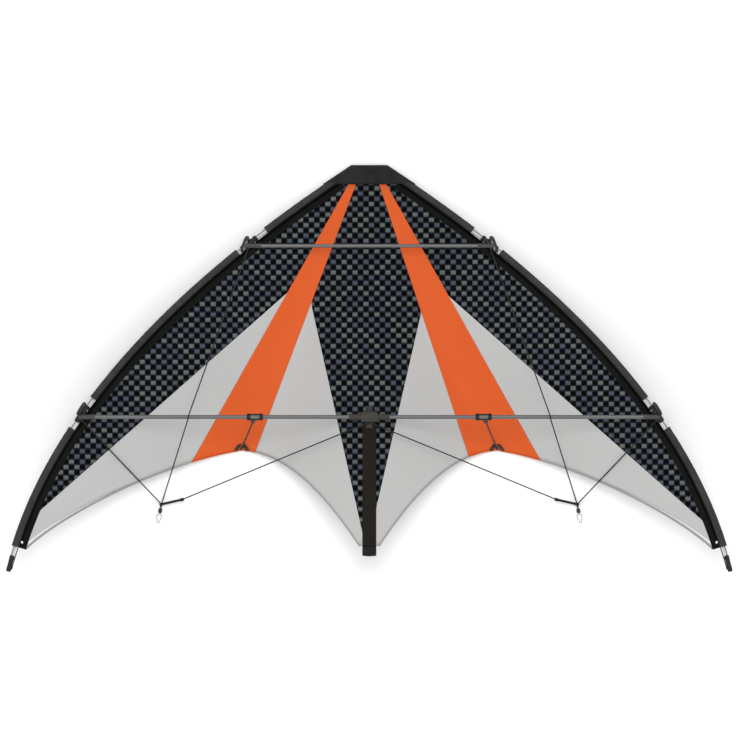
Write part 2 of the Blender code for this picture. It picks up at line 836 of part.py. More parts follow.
def keel_strip(kite):
    def at(u, v):
        return Vector(((2 * u - 1) * KEEL_HALF, KEEL_START + (TAIL_CORNER[1] - KEEL_START) * v))

    sheet = cloth("keel_strip", 1, at, 4, 8, KEEL_LIFT, KEEL_THICKNESS)
    kite.add(sheet, "keel_tape")


def tail_pocket(kite):
    size = (2 * TAIL_HALF, TAIL_END - TAIL_START, TAIL_BACK + TAIL_FRONT)
    middle = place(0, (TAIL_START + TAIL_END) / 2, (TAIL_FRONT - TAIL_BACK) / 2)
    obj = kite.add(round_edges(block("tail_pocket", size, middle), 0.0015), "webbing")
    kite.cut(obj, spine_bore(SPINE_START, SPINE_END + FIT))


# Spreaders


def socket_stop(row):
    """How far from the spine a spreader's end reaches in its connector."""
    return edge_point(edge_at(JOINTS[row]["s"])).x - SOCKET_STOP - FIT


def upper_spreader(kite):
    x, s = socket_stop("upper"), JOINTS["upper"]["s"]
    ends = place(-x, s, ROD_LIFT), place(x, s, ROD_LIFT)
    kite.add(bar("upper_spreader", *ends, UPPER_ROD_RADIUS), "spreader_rod")


def lower_spreader(kite, half, side):
    s = JOINTS["lower"]["s"]
    start = place(side * 0.003, s, ROD_LIFT)
    end = place(side * socket_stop("lower"), s, ROD_LIFT)
    kite.add(bar(f"{half}_lower_spreader", start, end, LOWER_ROD_RADIUS, 16), "spreader_rod")


# Stand-offs and the feet that their tips sit in


def foot_outline(notch, grow=0.0):
    """The wedge seen from above, with or without the notch, about its own middle."""
    base = -FOOT_BASE - grow
    left = (-FOOT_BASE_HALF - grow, base)
    right = (FOOT_BASE_HALF + grow, base)
    apex = [(FOOT_APEX_HALF + grow, FOOT_APEX + grow), (-FOOT_APEX_HALF - grow, FOOT_APEX + grow)]
    gap = [(-NOTCH_HALF, base), (0, NOTCH_APEX), (NOTCH_HALF, base)] if notch else []
    return [left, *gap, right, *apex]


def foot_frame(side, height):
    """A frame level with the floor, this high above it, at a foot."""
    n = floor_height(FOOT_S) + height / math.cos(REST_TILT)
    level = Matrix.Rotation(REST_TILT, 4, "X")
    return Matrix.Translation(place(side * STAND_OFF_CORNER[0], FOOT_S, n)) @ level


def foot_cutter(side):
    cutter = as_mesh(outline_object("foot_gap", [foot_outline(False, 0.0005)], 0.05))
    cutter.matrix_basis = foot_frame(side, FOOT_HEIGHT / 2)
    return cutter


def trailing_foot(kite, half, side):
    outline = foot_outline(True)
    obj = as_mesh(outline_object(f"{half}_trailing_edge_foot", [outline], FOOT_HEIGHT))
    obj.matrix_basis = foot_frame(side, FOOT_HEIGHT / 2)
    kite.add(obj, "vinyl")


def stand_off_ends(side):
    """The pivot on the spreader and the tip in the foot's notch."""
    x, s = STAND_OFF_TIP
    n = floor_height(s) + STAND_OFF_TIP_HEIGHT / math.cos(REST_TILT)
    return place(side * SADDLE_X, JOINTS["lower"]["s"], ROD_LIFT), place(side * x, s, n)


def stand_off(kite, half, side):
    """A saddle that turns on the spreader, and the rod that it holds off the sail."""
    pivot_place, tip = stand_off_ends(side)
    pivot = bpy.data.objects.new(f"{half}_stand_off_pivot", None)
    link(pivot, kite.parts, kite.frame)
    pivot.location = pivot_place
    reach = tip - pivot_place
    away = reach.normalized()
    across = Vector((SADDLE_HALF, 0, 0))
    saddle = bar(f"{half}_stand_off_saddle", -across, across, SADDLE_RADIUS, 16)
    kite.add(saddle, "vinyl", pivot)
    kite.join(saddle, bar("holder", Vector(), away * HOLDER_END, HOLDER_RADIUS), pivot)
    kite.cut(saddle, bar("rod_bore", -across * 2, across * 2, LOWER_ROD_RADIUS + FIT, 16), pivot)
    kite.cut(saddle, block("open_face", SADDLE_GAP, Vector((0, 0, SADDLE_GAP_LIFT))), pivot)
    bore = away * HOLDER_BORE_START, away * HOLDER_END * 2
    kite.cut(saddle, bar("tip_bore", *bore, STAND_OFF_RADIUS + FIT), pivot)
    rod = stand_off_rod(f"{half}_stand_off_rod", reach.length - HOLDER_BORE_START - FIT)
    rod.matrix_basis = Matrix.Translation(reach) @ away.to_track_quat("Z", "Y").to_matrix().to_4x4()
    kite.add(rod, "spreader_rod", pivot)


def stand_off_rod(name, length):
    """A thin rod with a round cap on its tip, local Z ending at zero."""
    cap, corner = STAND_OFF_CAP_RADIUS, STAND_OFF_CAP_RADIUS / 2
    profile = [
        (0, 0),
        (cap - corner, 0),
        (cap, -corner),
        (cap, -STAND_OFF_CAP_LENGTH),
        (STAND_OFF_RADIUS, -STAND_OFF_CAP_LENGTH),
        (STAND_OFF_RADIUS, -length),
        (0, -length),
    ]
    return turned(name, profile)


# Bridle, swivels and line clips


def tow_point(side):
    x, s = TOW_POINT
    n = floor_height(s) + TOW_HEIGHT / math.cos(REST_TILT)
    return place(side * x, s, n)


def tow_direction(side):
    """The way the line clip points: away from the kite, splayed out, level with the floor."""
    level = Vector((side * math.sin(TOW_SPLAY), -math.cos(TOW_SPLAY), 0))
    return Matrix.Rotation(REST_TILT, 3, "X") @ level


def stop_short(end, before, distance):
    """The end of a line, drawn back towards the place before it."""
    return end + (before - end).normalized() * distance


def line(kite, name, places):
    kite.add(curve_object(name, places, LINE_RADIUS), "bridle_line")


def leg_start(side, row):
    x, s = edge_point(edge_at(JOINTS[row]["s"]))
    drop = JOINTS[row]["rod"] + SOCKET_WALL + LINE_RADIUS + FIT
    return place(side * (x - LEG_IN_FROM_EDGE), s + drop, ROD_LIFT)


def upper_leg(kite, half, side):
    """From the upper connector over the lower spreader to the tow point."""
    start, tow = leg_start(side, "upper"), tow_point(side)
    spreader = place(0, JOINTS["lower"]["s"], ROD_LIFT)
    radius = (LOWER_ROD_RADIUS + LINE_RADIUS + FIT) / math.cos(WRAP_STEP / 2)
    x = side * UPPER_LEG_CROSSING
    wrap = []
    for k in range(WRAP_POINTS):
        angle = k * WRAP_STEP
        wrap.append(spreader + Vector((x, -radius * math.sin(angle), radius * math.cos(angle))))
    end = stop_short(tow, wrap[-1], KNOT_RADIUS + FIT)
    line(kite, f"{half}_upper_bridle_leg", [start, *wrap, end])


def lower_leg(kite, half, side):
    """From the lower connector over the trailing edge to the tow point."""
    start, tow = leg_start(side, "lower"), tow_point(side)
    crossing = cubic(TRAIL_OUTER, solve(lambda t: beyond_leg(start, tow, t), 0.2, 0.8))
    lift = SAIL_THICKNESS + LINE_RADIUS + FIT
    over = place(side * crossing.x, crossing.y, sail_height(*crossing) + lift)
    end = stop_short(tow, over, KNOT_RADIUS + FIT)
    line(kite, f"{half}_lower_bridle_leg", [start, over, end])


def beyond_leg(start, tow, t):
    """How far the outer trailing edge at t lies outside a leg, seen from the front."""
    x, s = cubic(TRAIL_OUTER, t)
    return x - abs(start.x) + (abs(start.x) - abs(tow.x)) * (s + start.y) / (start.y - tow.y)


def inner_leg_start(side):
    s = JOINTS["lower"]["s"] + COLLAR_SIZE[1] / 2 + LINE_RADIUS + FIT
    return place(side * LEG_IN_FROM_EDGE, s, ROD_LIFT)


def adjuster_place(side):
    """The adjusting knot: short of the tow point, and drawn towards the tail."""
    straight_place = inner_leg_start(side).lerp(tow_point(side), ADJUSTER_SHARE)
    return straight_place + place(0, ADJUSTER_SAG, 0)


def inner_leg(kite, half, side):
    """From the centre fitting to the adjusting knot."""
    start = inner_leg_start(side)
    end = stop_short(adjuster_place(side), start, KNOT_RADIUS + FIT)
    line(kite, f"{half}_inner_bridle_leg", [start, end])


def tow_loop(kite, half, side):
    """The doubled line from the adjusting knot round the tow point to the swivel."""
    tow, knot = tow_point(side), adjuster_place(side)
    obj = kite.add(bar(f"{half}_tow_loop", knot, tow, LOOP_RADIUS, 8), "bridle_line")
    end = tow + tow_direction(side) * (SWIVEL_START - FIT)
    kite.join(obj, ball("adjusting_knot", knot, KNOT_RADIUS))
    kite.join(obj, ball("tow_knot", tow, KNOT_RADIUS))
    kite.join(obj, bar("neck", tow, end, NECK_RADIUS, 8))


def swivel(kite, half, side):
    """The barrel that the line clip turns in."""
    tow, away = tow_point(side), tow_direction(side)
    start = tow + away * SWIVEL_START
    end = start + away * SWIVEL_LENGTH
    obj = bar(f"{half}_swivel", start, end, SWIVEL_RADIUS)
    kite.add(round_edges(obj, 0.001), "steel")
    stop = end - away * (STEM_LENGTH + FIT)
    beyond = end + away * SWIVEL_LENGTH
    kite.cut(obj, bar("stem_bore", stop, beyond, STEM_RADIUS + FIT, 10))


def clip_outline(shrink):
    """A pear outline: two round ends and the straight sides that touch both, broad end at +Y."""
    big, small = CLIP_BIG - shrink, CLIP_SMALL - shrink
    lean = math.asin((CLIP_BIG - CLIP_SMALL) / CLIP_CENTRES)
    ends = [(big, 0, -lean, math.pi + lean), (small, -CLIP_CENTRES, math.pi + lean, 2 * math.pi - lean)]
    outline = []
    for radius, middle, first, last in ends:
        for k in range(CLIP_ARC_POINTS):
            angle = first + (last - first) * k / (CLIP_ARC_POINTS - 1)
            outline.append((radius * math.cos(angle), middle + radius * math.sin(angle)))
    return outline


def line_clip(kite, half, side):
    """A pear-shaped clip on a stem; its own Y points back up the tow line."""
    tow, away = tow_point(side), tow_direction(side)
    pivot = bpy.data.objects.new(f"{half}_line_clip_pivot", None)
    link(pivot, kite.parts, kite.frame)
    up = Matrix.Rotation(REST_TILT, 3, "X") @ Vector((0, 0, 1))
    axes = Matrix(((-away).cross(up), -away, up)).transposed().to_4x4()
    pivot.matrix_basis = Matrix.Translation(tow + away * CLIP_START) @ axes
    outlines = [clip_outline(0), clip_outline(CLIP_WIRE)]
    obj = as_mesh(outline_object(f"{half}_line_clip", outlines, CLIP_THICKNESS))
    obj.location = (0, -CLIP_BIG, 0)
    kite.add(obj, "steel", pivot)
    tip = CLIP_START - SWIVEL_START - SWIVEL_LENGTH + STEM_LENGTH
    kite.join(obj, bar("stem", Vector((0, -CLIP_WIRE / 2, 0)), Vector((0, tip, 0)), STEM_RADIUS, 10), pivot)


# The whole kite


def half_kite(kite, half, side):
    edge_rod(kite, half, side)
    edge_sleeve(kite, half, side)
    wing_tip_nock(kite, half, side)
    for row, joint in JOINTS.items():
        edge_connector(kite, half, side, row, joint)
        stopper_ring(kite, half, side, row, joint)
    for panel in (inner_panel, stripe_panel, outer_panel, tip_panel):
        panel(kite, half, side)
    lower_spreader(kite, half, side)
    trailing_foot(kite, half, side)
    stand_off(kite, half, side)
    for rigging in (upper_leg, lower_leg, inner_leg, tow_loop, swivel, line_clip):
        rigging(kite, half, side)


def stand_on_floor(kite):
    """Moves the frame so that the origin is under the middle of the kite, on the floor."""
    bpy.context.view_layer.update()
    graph = bpy.context.evaluated_depsgraph_get()
    corners = []
    for obj in kite.parts.objects:
        if obj.type == "EMPTY":
            continue
        solid = obj.evaluated_get(graph)
        mesh = solid.to_mesh()
        corners += [solid.matrix_world @ vert.co for vert in mesh.vertices]
        solid.to_mesh_clear()
    low = [min(corner[axis] for corner in corners) for axis in range(3)]
    high = [max(corner[axis] for corner in corners) for axis in range(3)]
    middle = [(a + b) / 2 for a, b in zip(low, high)]
    kite.frame.location = (-middle[0], -middle[1], -low[2])


def main():
    clear_scene()
    kite = Kite()
    nose_cover(kite)
    spine_rod(kite)
    centre_panel(kite)
    centre_fitting(kite)
    keel_strip(kite)
    tail_pocket(kite)
    upper_spreader(kite)
    for half, side in HALVES.items():
        half_kite(kite, half, side)
    stand_on_floor(kite)


main()
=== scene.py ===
"""Looks of the stunt kite: cloth, rods, fittings, bridle and the light that they are seen in.

The kite's own frame names a place by (x, s, n) in metres: x across the span, s down the spine
from the nose, n out of the sail's face. KiteFrame carries such places into the row frame.
"""

from __future__ import annotations

import json
import logging
import math
from collections.abc import Callable, Sequence
from dataclasses import dataclass, field
from enum import Enum

import bmesh
import bpy
import numpy as np
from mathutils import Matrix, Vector

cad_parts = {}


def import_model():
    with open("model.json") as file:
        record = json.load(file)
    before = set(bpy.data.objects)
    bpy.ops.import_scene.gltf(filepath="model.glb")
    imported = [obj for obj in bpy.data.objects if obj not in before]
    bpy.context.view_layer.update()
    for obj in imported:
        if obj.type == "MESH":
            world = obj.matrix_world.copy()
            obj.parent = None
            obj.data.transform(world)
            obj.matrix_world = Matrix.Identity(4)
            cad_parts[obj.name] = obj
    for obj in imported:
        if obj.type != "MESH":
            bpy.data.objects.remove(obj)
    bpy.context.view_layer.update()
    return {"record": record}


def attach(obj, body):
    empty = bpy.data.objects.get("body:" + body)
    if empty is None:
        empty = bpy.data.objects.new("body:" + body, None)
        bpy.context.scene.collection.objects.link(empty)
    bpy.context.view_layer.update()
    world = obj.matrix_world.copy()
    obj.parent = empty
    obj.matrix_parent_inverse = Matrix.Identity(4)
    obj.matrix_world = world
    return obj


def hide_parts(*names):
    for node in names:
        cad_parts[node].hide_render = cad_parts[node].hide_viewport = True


Array = np.ndarray
Run = Callable[[Array], Array]
LOG = logging.getLogger("stunt_kite")
TAU = 2 * math.pi


class Half(Enum):
    """One half of the kite, with the sign of its x."""

    LEFT = -1
    RIGHT = 1

    @property
    def label(self) -> str:
        """The half's name in node names."""
        return self.name.lower()


# Places and directions


@dataclass(frozen=True)
class KiteFrame:
    """The kite's own frame, placed in the row frame.

    A place (x, s, n) lies at origin + x * X - s * towards_nose + n * face, where the last two are
    the row's Y and Z turned back by the tilt.
    """

    tilt: float
    origin: tuple[float, float, float]

    def row(self, places: Array) -> Array:
        """Carries places from the kite's frame into the row frame.

        Args:
            places: points (x, s, n), the last axis holding the three numbers.

        Returns:
            The same points in the row frame.
        """
        x, s, n = np.moveaxis(np.asarray(places, float), -1, 0)
        cos, sin = math.cos(self.tilt), math.sin(self.tilt)
        moved = np.stack([x, -s * cos + n * sin, s * sin + n * cos], axis=-1)
        return moved + np.asarray(self.origin)

    @classmethod
    def from_record(cls, record: dict, nose_place: tuple[float, float, float]) -> KiteFrame:
        """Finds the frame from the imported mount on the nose's face.

        Args:
            record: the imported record.
            nose_place: where that mount is in the kite's frame.

        Returns:
            The frame whose row() carries nose_place to the mount.
        """
        mount = next(m for m in record["mounts"] if m["name"] == "nose_face")
        tilt = math.atan2(mount["axis"][1], mount["axis"][2])
        offset = cls(tilt, (0, 0, 0)).row(np.array(nose_place))
        return cls(tilt, tuple(np.asarray(mount["pos_m"]) - offset))


def unit(vectors: Array) -> Array:
    """Vectors scaled to length one along the last axis."""
    return vectors / np.maximum(np.linalg.norm(vectors, axis=-1, keepdims=True), 1e-12)


def bezier(points: Sequence[Sequence[float]], t: Array) -> Array:
    """Places on a cubic Bezier curve.

    Formula: (1-t)^3 a + 3 t (1-t)^2 b + 3 t^2 (1-t) c + t^3 d.

    Args:
        points: the four control points.
        t: where along the curve, 0 to 1.

    Returns:
        One place per t.
    """
    a, b, c, d = (np.asarray(point, float) for point in points)
    t = np.asarray(t, float)[..., None]
    return a * (1 - t) ** 3 + 3 * b * t * (1 - t) ** 2 + 3 * c * t**2 * (1 - t) + d * t**3


def solve(difference: Callable[[Array], Array], low: Array, high: Array) -> Array:
    """Finds where a rising function crosses zero, by halving whole arrays.

    Args:
        difference: the function, of an array of t.
        low: t where it is below zero.
        high: t where it is above zero.

    Returns:
        The t of the crossing.
    """
    low, high = np.broadcast_arrays(np.asarray(low, float), np.asarray(high, float))
    low, high = low.copy(), high.copy()
    for _ in range(44):
        middle = (low + high) / 2
        below = difference(middle) < 0
        low, high = np.where(below, middle, low), np.where(below, high, middle)
    return (low + high) / 2


@dataclass(frozen=True)
class Plan:
    """The kite's drawing: its curves and seams as (x, s), and the sail's depth."""

    edge: tuple = ((0.0292, 0.0055), (0.1844, 0.1094), (0.6236, 0.4007), (0.7194, 0.8100))
    corner: tuple[float, float] = (0.2544, 0.5690)
    tail: tuple[float, float] = (0.0200, 0.7595)
    depth: float = 0.134
    rounding: float = 0.25
    cloth_start: float = 0.0389
    sleeve_reach: float = 0.0220
    sleeve_end: float = 0.9586
    nose_half_thick: float = 0.009
    upper_joint: float = 0.161
    lower_joint: float = 0.502
    rod_lift: float = 0.009

    @property
    def outer_trail(self) -> tuple:
        """The trailing edge from the stand-off to the wing tip."""
        return (self.corner, (0.3859, 0.5866), (0.6016, 0.6877), (0.6837, 0.7655))

    @property
    def inner_trail(self) -> tuple:
        """The trailing edge from the stand-off to the tail."""
        return (self.corner, (0.1646, 0.5729), (0.0873, 0.6575), self.tail)

    def stripe_outer(self, half: Half) -> tuple:
        """The stripe's outer seam, as two places on a straight line."""
        tops = {Half.LEFT: (0.0456, 0.0458), Half.RIGHT: (0.0379, 0.0458)}
        feet = {Half.LEFT: (0.3293, 0.5478), Half.RIGHT: (0.3187, 0.5478)}
        return tops[half], feet[half]

    def stripe_inner(self, half: Half) -> tuple:
        """The stripe's inner seam."""
        tops = {Half.LEFT: (0.0295, 0.0458), Half.RIGHT: (0.0220, 0.0458)}
        feet = {Half.LEFT: (0.2185, 0.5478), Half.RIGHT: (0.1875, 0.5478)}
        return tops[half], feet[half]

    def centre_seam(self, half: Half) -> tuple:
        """The seam between the dark centre and the light inner panel."""
        tops = {Half.LEFT: (0.1087, 0.3088), Half.RIGHT: (0.1000, 0.3088)}
        feet = {Half.LEFT: (0.0078, 0.7590), Half.RIGHT: (-0.0035, 0.7590)}
        return tops[half], feet[half]

    def diagonal_seam(self, half: Half) -> tuple:
        """The seam between the light outer panel and the dark tip panel."""
        tops = {Half.LEFT: (0.1996, 0.2828), Half.RIGHT: (0.1856, 0.2817)}
        feet = {Half.LEFT: (0.6575, 0.6896), Half.RIGHT: (0.6425, 0.6893)}
        return tops[half], feet[half]

    def edge_speed(self, t: Array) -> Array:
        """How (x, s) changes with t along the leading edge: the curve's derivative."""
        a, b, c, d = (np.asarray(point, float) for point in self.edge)
        t = np.asarray(t, float)[..., None]
        return 3 * (b - a) * (1 - t) ** 2 + 6 * (c - b) * t * (1 - t) + 3 * (d - c) * t**2

    def edge_inward(self, t: Array) -> Array:
        """The unit direction from the leading edge into the sail: the tangent, turned."""
        along = unit(self.edge_speed(t))
        return np.stack([-along[..., 1], along[..., 0]], axis=-1)

    def edge_at(self, s: Array) -> Array:
        """The t at which the leading edge is s below the nose."""
        s = np.asarray(s, float)
        return solve(lambda t: bezier(self.edge, t)[..., 1] - s, np.zeros_like(s), np.ones_like(s))

    def edge_shift(self, t: float, distance: float) -> float:
        """The t a short distance further down the leading edge."""
        return float(t + distance / np.linalg.norm(self.edge_speed(np.asarray(t))))

    def height(self, x: Array, s: Array) -> Array:
        """The sail's n at (x, s).

        Formula: -depth * s / s_corner * f, where f rises from 0 on the spine and on the leading
        edge to 1 on the crease between them, along a hyperbola that rounds the crease.

        Args:
            x: distance from the spine, either sign.
            s: distance from the nose.

        Returns:
            The height out of the plane of the leading edges.
        """
        x = np.abs(x)
        crease = np.maximum(self.corner[0] / self.corner[1] * s, 1e-6)
        edge = bezier(self.edge, self.edge_at(s))[..., 0]
        share = np.where(x < crease, x / crease, (edge - x) / (edge - crease))
        soft = np.hypot(1 - share, self.rounding) - self.rounding
        hard = math.hypot(1, self.rounding) - self.rounding
        return -self.depth * s / self.corner[1] * (1 - soft / hard)

    def lean(self, t: Array) -> Array:
        """How far the sleeve's band leans back to meet the sail, in radians."""
        x, s = np.moveaxis(bezier(self.edge, t) + self.edge_inward(t) * self.sleeve_reach, -1, 0)
        return np.arctan2(-self.height(x, s), self.sleeve_reach)

    def cloth_edge(self, t: Array, under: float) -> Array:
        """Where the sail's cloth ends, this far under the sleeve's band."""
        return bezier(self.edge, t) + self.edge_inward(t) * (self.sleeve_reach - under)

    def floor(self, s: float, tilt: float) -> float:
        """The n of the floor under a place s below the nose."""
        return -self.nose_half_thick - s * math.tan(tilt)


PLAN = Plan()


def seam_line(seam: tuple, s: Array | float) -> Array | float:
    """The x at s of the straight line that a seam follows."""
    (x_top, s_top), (x_foot, s_foot) = seam
    return x_top + (x_foot - x_top) * (s - s_top) / (s_foot - s_top)


def seam_x(seam: tuple, s: Array | float) -> Array | float:
    """The seam's x at s, kept off the spine."""
    return np.maximum(seam_line(seam, s), 0.0045)


def seam_place(seam: tuple, s: float, shift: float = 0.0) -> Array:
    """A place on a seam, shifted across it."""
    return np.array([seam_x(seam, s) + shift, s])


def seam_crossing(first: tuple, second: tuple) -> float:
    """The s at which two seams cross."""
    gap = seam_line(first, 0) - seam_line(second, 0)
    closing = seam_line(second, 1) - seam_line(second, 0) - seam_line(first, 1) + seam_line(first, 0)
    return gap / closing


# Surfaces


class Surface:
    """Grids of points, gathered into one mesh."""

    def __init__(self) -> None:
        """Starts with no points."""
        self._points: list[Array] = []
        self._faces: list[Array] = []
        self._uvs: list[Array] = []
        self._count = 0

    def grid(self, points: Array, uv: Array | None = None) -> Surface:
        """Adds a grid of points, or a stack of equal grids.

        Args:
            points: places (..., rows, columns, 3).
            uv: pattern places (..., rows, columns, 2) in metres; worked out from the grid's own
                lengths where left out.

        Returns:
            This surface.
        """
        rows, columns = points.shape[-3:-1]
        stack = points.reshape(-1, rows, columns, 3)
        uv = self._lengths(stack) if uv is None else np.broadcast_to(uv, (*points.shape[:-1], 2))
        index = np.arange(rows * columns).reshape(rows, columns)
        quads = [index[:-1, :-1], index[:-1, 1:], index[1:, 1:], index[1:, :-1]]
        quads = np.stack(quads, axis=-1).reshape(-1, 4)
        starts = self._count + np.arange(len(stack)) * rows * columns
        self._faces.append((quads[None] + starts[:, None, None]).reshape(-1, 4))
        self._points.append(stack.reshape(-1, 3))
        self._uvs.append(uv.reshape(-1, 2))
        self._count += len(stack) * rows * columns
        return self

    @staticmethod
    def _lengths(stack: Array) -> Array:
        """Pattern places from lengths: u down the rows, v along the widest row."""
        down = np.linalg.norm(np.diff(stack.mean(axis=2), axis=1), axis=-1)
        across = np.linalg.norm(np.diff(stack, axis=2), axis=-1).max(axis=1)
        u = np.concatenate([np.zeros((len(stack), 1)), np.cumsum(down, axis=1)], axis=1)
        v = np.concatenate([np.zeros((len(stack), 1)), np.cumsum(across, axis=1)], axis=1)
        rows, columns = stack.shape[1:3]
        u = np.broadcast_to(u[:, :, None], (len(stack), rows, columns))
        v = np.broadcast_to(v[:, None, :], (len(stack), rows, columns))
        return np.stack([u, v], axis=-1)

    def mirrored(self, half: Half) -> Surface:
        """The same surface on one half: x takes that half's sign."""
        twin = Surface()
        twin._points = [points * (half.value, 1, 1) for points in self._points]
        twin._faces, twin._uvs, twin._count = self._faces, self._uvs, self._count
        return twin

    def mesh(self, name: str, frame: KiteFrame, faces_up: bool = False) -> bpy.types.Object:
        """Makes the object, with its points merged and its faces outwards.

        Args:
            name: the object's name.
            frame: carries the points into the row frame.
            faces_up: for an open sheet, turns its faces to the kite's face.

        Returns:
            The new object, linked to the scene.
        """
        points = frame.row(np.concatenate(self._points))
        faces = np.concatenate(self._faces)
        mesh = bpy.data.meshes.new(name)
        mesh.from_pydata(points, [], faces)
        layer = mesh.uv_layers.new(name="UVMap")
        layer.data.foreach_set("uv", np.concatenate(self._uvs)[faces.ravel()].ravel())
        bm = bmesh.new()
        bm.from_mesh(mesh)
        bmesh.ops.remove_doubles(bm, verts=bm.verts, dist=1e-7)
        bmesh.ops.recalc_face_normals(bm, faces=bm.faces)
        if faces_up and sum(face.normal.z for face in bm.faces) < 0:
            bmesh.ops.reverse_faces(bm, faces=bm.faces)
        bm.to_mesh(mesh)
        bm.free()
        obj = bpy.data.objects.new(name, mesh)
        bpy.context.scene.collection.objects.link(obj)
        return obj


@dataclass(frozen=True)
class Axes:
    """A local frame in the kite's frame: its origin and three directions."""

    origin: Array
    x: Array
    y: Array
    z: Array

    def __call__(self, points: Array) -> Array:
        """Carries local points out of this frame."""
        return (
            self.origin
            + points[..., :1] * self.x
            + points[..., 1:2] * self.y
            + points[..., 2:3] * self.z
        )

    @classmethod
    def along(cls, origin: Array, direction: Array, near_up: Array) -> Axes:
        """Local Z along a direction, local Y as near as possible to another."""
        z = unit(np.asarray(direction, float))
        y = unit(np.asarray(near_up, float) - np.dot(near_up, z) * z)
        return cls(np.asarray(origin, float), np.cross(y, z), y, z)


def ring(count: int) -> Array:
    """The unit circle as (count + 1) points (cos, sin), the last on the first."""
    angle = np.linspace(0, TAU, count + 1)
    return np.stack([np.cos(angle), np.sin(angle)], axis=-1)


def turned(profile: Sequence[tuple[float, float]], sides: int = 24) -> Array:
    """A surface of revolution about local Z.

    Formula: (r cos a, r sin a, h) over a full turn, for each (r, h) of the profile.

    Args:
        profile: pairs (radius, height).
        sides: flat sides of one turn.

    Returns:
        A grid, one row per pair of the profile.
    """
    radius, height = np.asarray(profile, float).T
    circle = ring(sides)
    flat = radius[:, None, None] * circle[None]
    up = np.broadcast_to(height[:, None, None], (len(radius), sides + 1, 1))
    return np.concatenate([flat, up], axis=-1)


def frames_along(path: Array, near_up: Array) -> tuple[Array, Array]:
    """The two directions across a path, at each of its points.

    Args:
        path: places (count, 3).
        near_up: the direction that the second one stays close to.

    Returns:
        side and up: unit vectors across the path, up as near as possible to near_up.
    """
    tangent = unit(np.gradient(path, axis=0))
    up = np.broadcast_to(np.asarray(near_up, float), path.shape)
    up = unit(up - (up * tangent).sum(-1, keepdims=True) * tangent)
    return np.cross(tangent, up), up


def swept(path: Array, section: Array, near_up: Array, size: Array | None = None) -> Array:
    """A section carried along a path.

    Formula: p(i) + size(i) * (a(j) * side(i) + b(j) * up(i)).

    Args:
        path: places (rows, 3).
        section: places (columns, 2), or (rows, columns, 2) where it changes on the way.
        near_up: the direction that the section's second axis stays close to.
        size: one factor per place, 0 where the end closes.

    Returns:
        The grid of points.
    """
    side, up = frames_along(path, near_up)
    section = np.broadcast_to(section, (len(path), *section.shape[-2:]))
    size = np.ones(len(path)) if size is None else size
    across = section[..., :1] * side[:, None] + section[..., 1:] * up[:, None]
    return path[:, None] + across * size[:, None, None]


def capped(path: Array, rounding: float, radius: float, steps: int = 3) -> tuple[Array, Array]:
    """Adds rows to a path's ends, which close them with rounded corners.

    Args:
        path: places (count, 3).
        rounding: the corner's radius.
        radius: the radius of the tube that it closes.
        steps: rows on each rounded corner.

    Returns:
        The longer path, and the size factor at each of its places.
    """
    angle = np.linspace(0, math.pi / 2, steps + 1)
    inset = rounding * (1 - np.sin(angle))
    shrink = 1 - rounding / radius * (1 - np.cos(angle))
    ends = []
    for end, inner in ((path[0], path[1]), (path[-1], path[-2])):
        inward = unit(inner - end)
        ends.append(end + inward * inset[:, None])
    first = np.concatenate([path[:1], ends[0][::-1]])
    last = np.concatenate([ends[1], path[-1:]])
    sizes_first = np.concatenate([[0], shrink[::-1]])
    sizes = np.concatenate([sizes_first, np.ones(len(path) - 2), sizes_first[::-1]])
    return np.concatenate([first, path[1:-1], last]), sizes


def tube(path: Array, radius: float, sides: int = 16, rounding: float = 0.0006) -> Array:
    """A closed round tube along a path, its end corners rounded."""
    rounded, sizes = capped(path, min(rounding, radius * 0.9), radius)
    return swept(rounded, ring(sides) * radius, (0, 0, 1), sizes)


def line_between(start: Array, end: Array, count: int = 8) -> Array:
    """Evenly spaced places from one to the other."""
    share = np.linspace(0, 1, count)[:, None]
    return np.asarray(start) * (1 - share) + np.asarray(end) * share


def plate(outline: Array, thickness: float, rounding: float) -> Array:
    """A flat plate with rounded edges, from a closed outline about local Z.

    Formula: rows run from the middle of one face out to the edge, round it, and back to the
    middle of the other face; each row is the outline drawn in by its inset.

    Args:
        outline: closed (count, 2), the last point on the first.
        thickness: along local Z.
        rounding: the radius of the edges.

    Returns:
        The grid of points.
    """
    middle = outline[:-1].mean(axis=0)
    reach = np.linalg.norm(outline - middle, axis=1, keepdims=True)
    angle = np.linspace(0, math.pi / 2, 4)
    inset = np.concatenate([rounding * (1 - np.sin(angle)), rounding * (1 - np.cos(angle))])
    drop = rounding * (1 - np.cos(angle))
    height = np.concatenate([thickness / 2 - drop, -thickness / 2 + drop[::-1]])
    inset[4:] = inset[3::-1]
    height[:4] = thickness / 2 - rounding * (1 - np.cos(angle))
    rows = [np.column_stack([np.tile(middle, (len(outline), 1)), np.full(len(outline), height[0])])]
    for depth, level in zip(inset, height):
        flat = middle + (outline - middle) * (1 - depth / reach)
        rows.append(np.column_stack([flat, np.full(len(outline), level)]))
    rows.append(
        np.column_stack([np.tile(middle, (len(outline), 1)), np.full(len(outline), height[-1])])
    )
    return np.stack(rows)


def superellipse(half_x: float, half_y: float, power: float, count: int = 40) -> Array:
    """A closed outline between an ellipse (power 2) and a rectangle (high power)."""
    circle = ring(count)
    shaped = np.sign(circle) * np.abs(circle) ** (2 / power)
    return shaped * (half_x, half_y)


# Shader maths


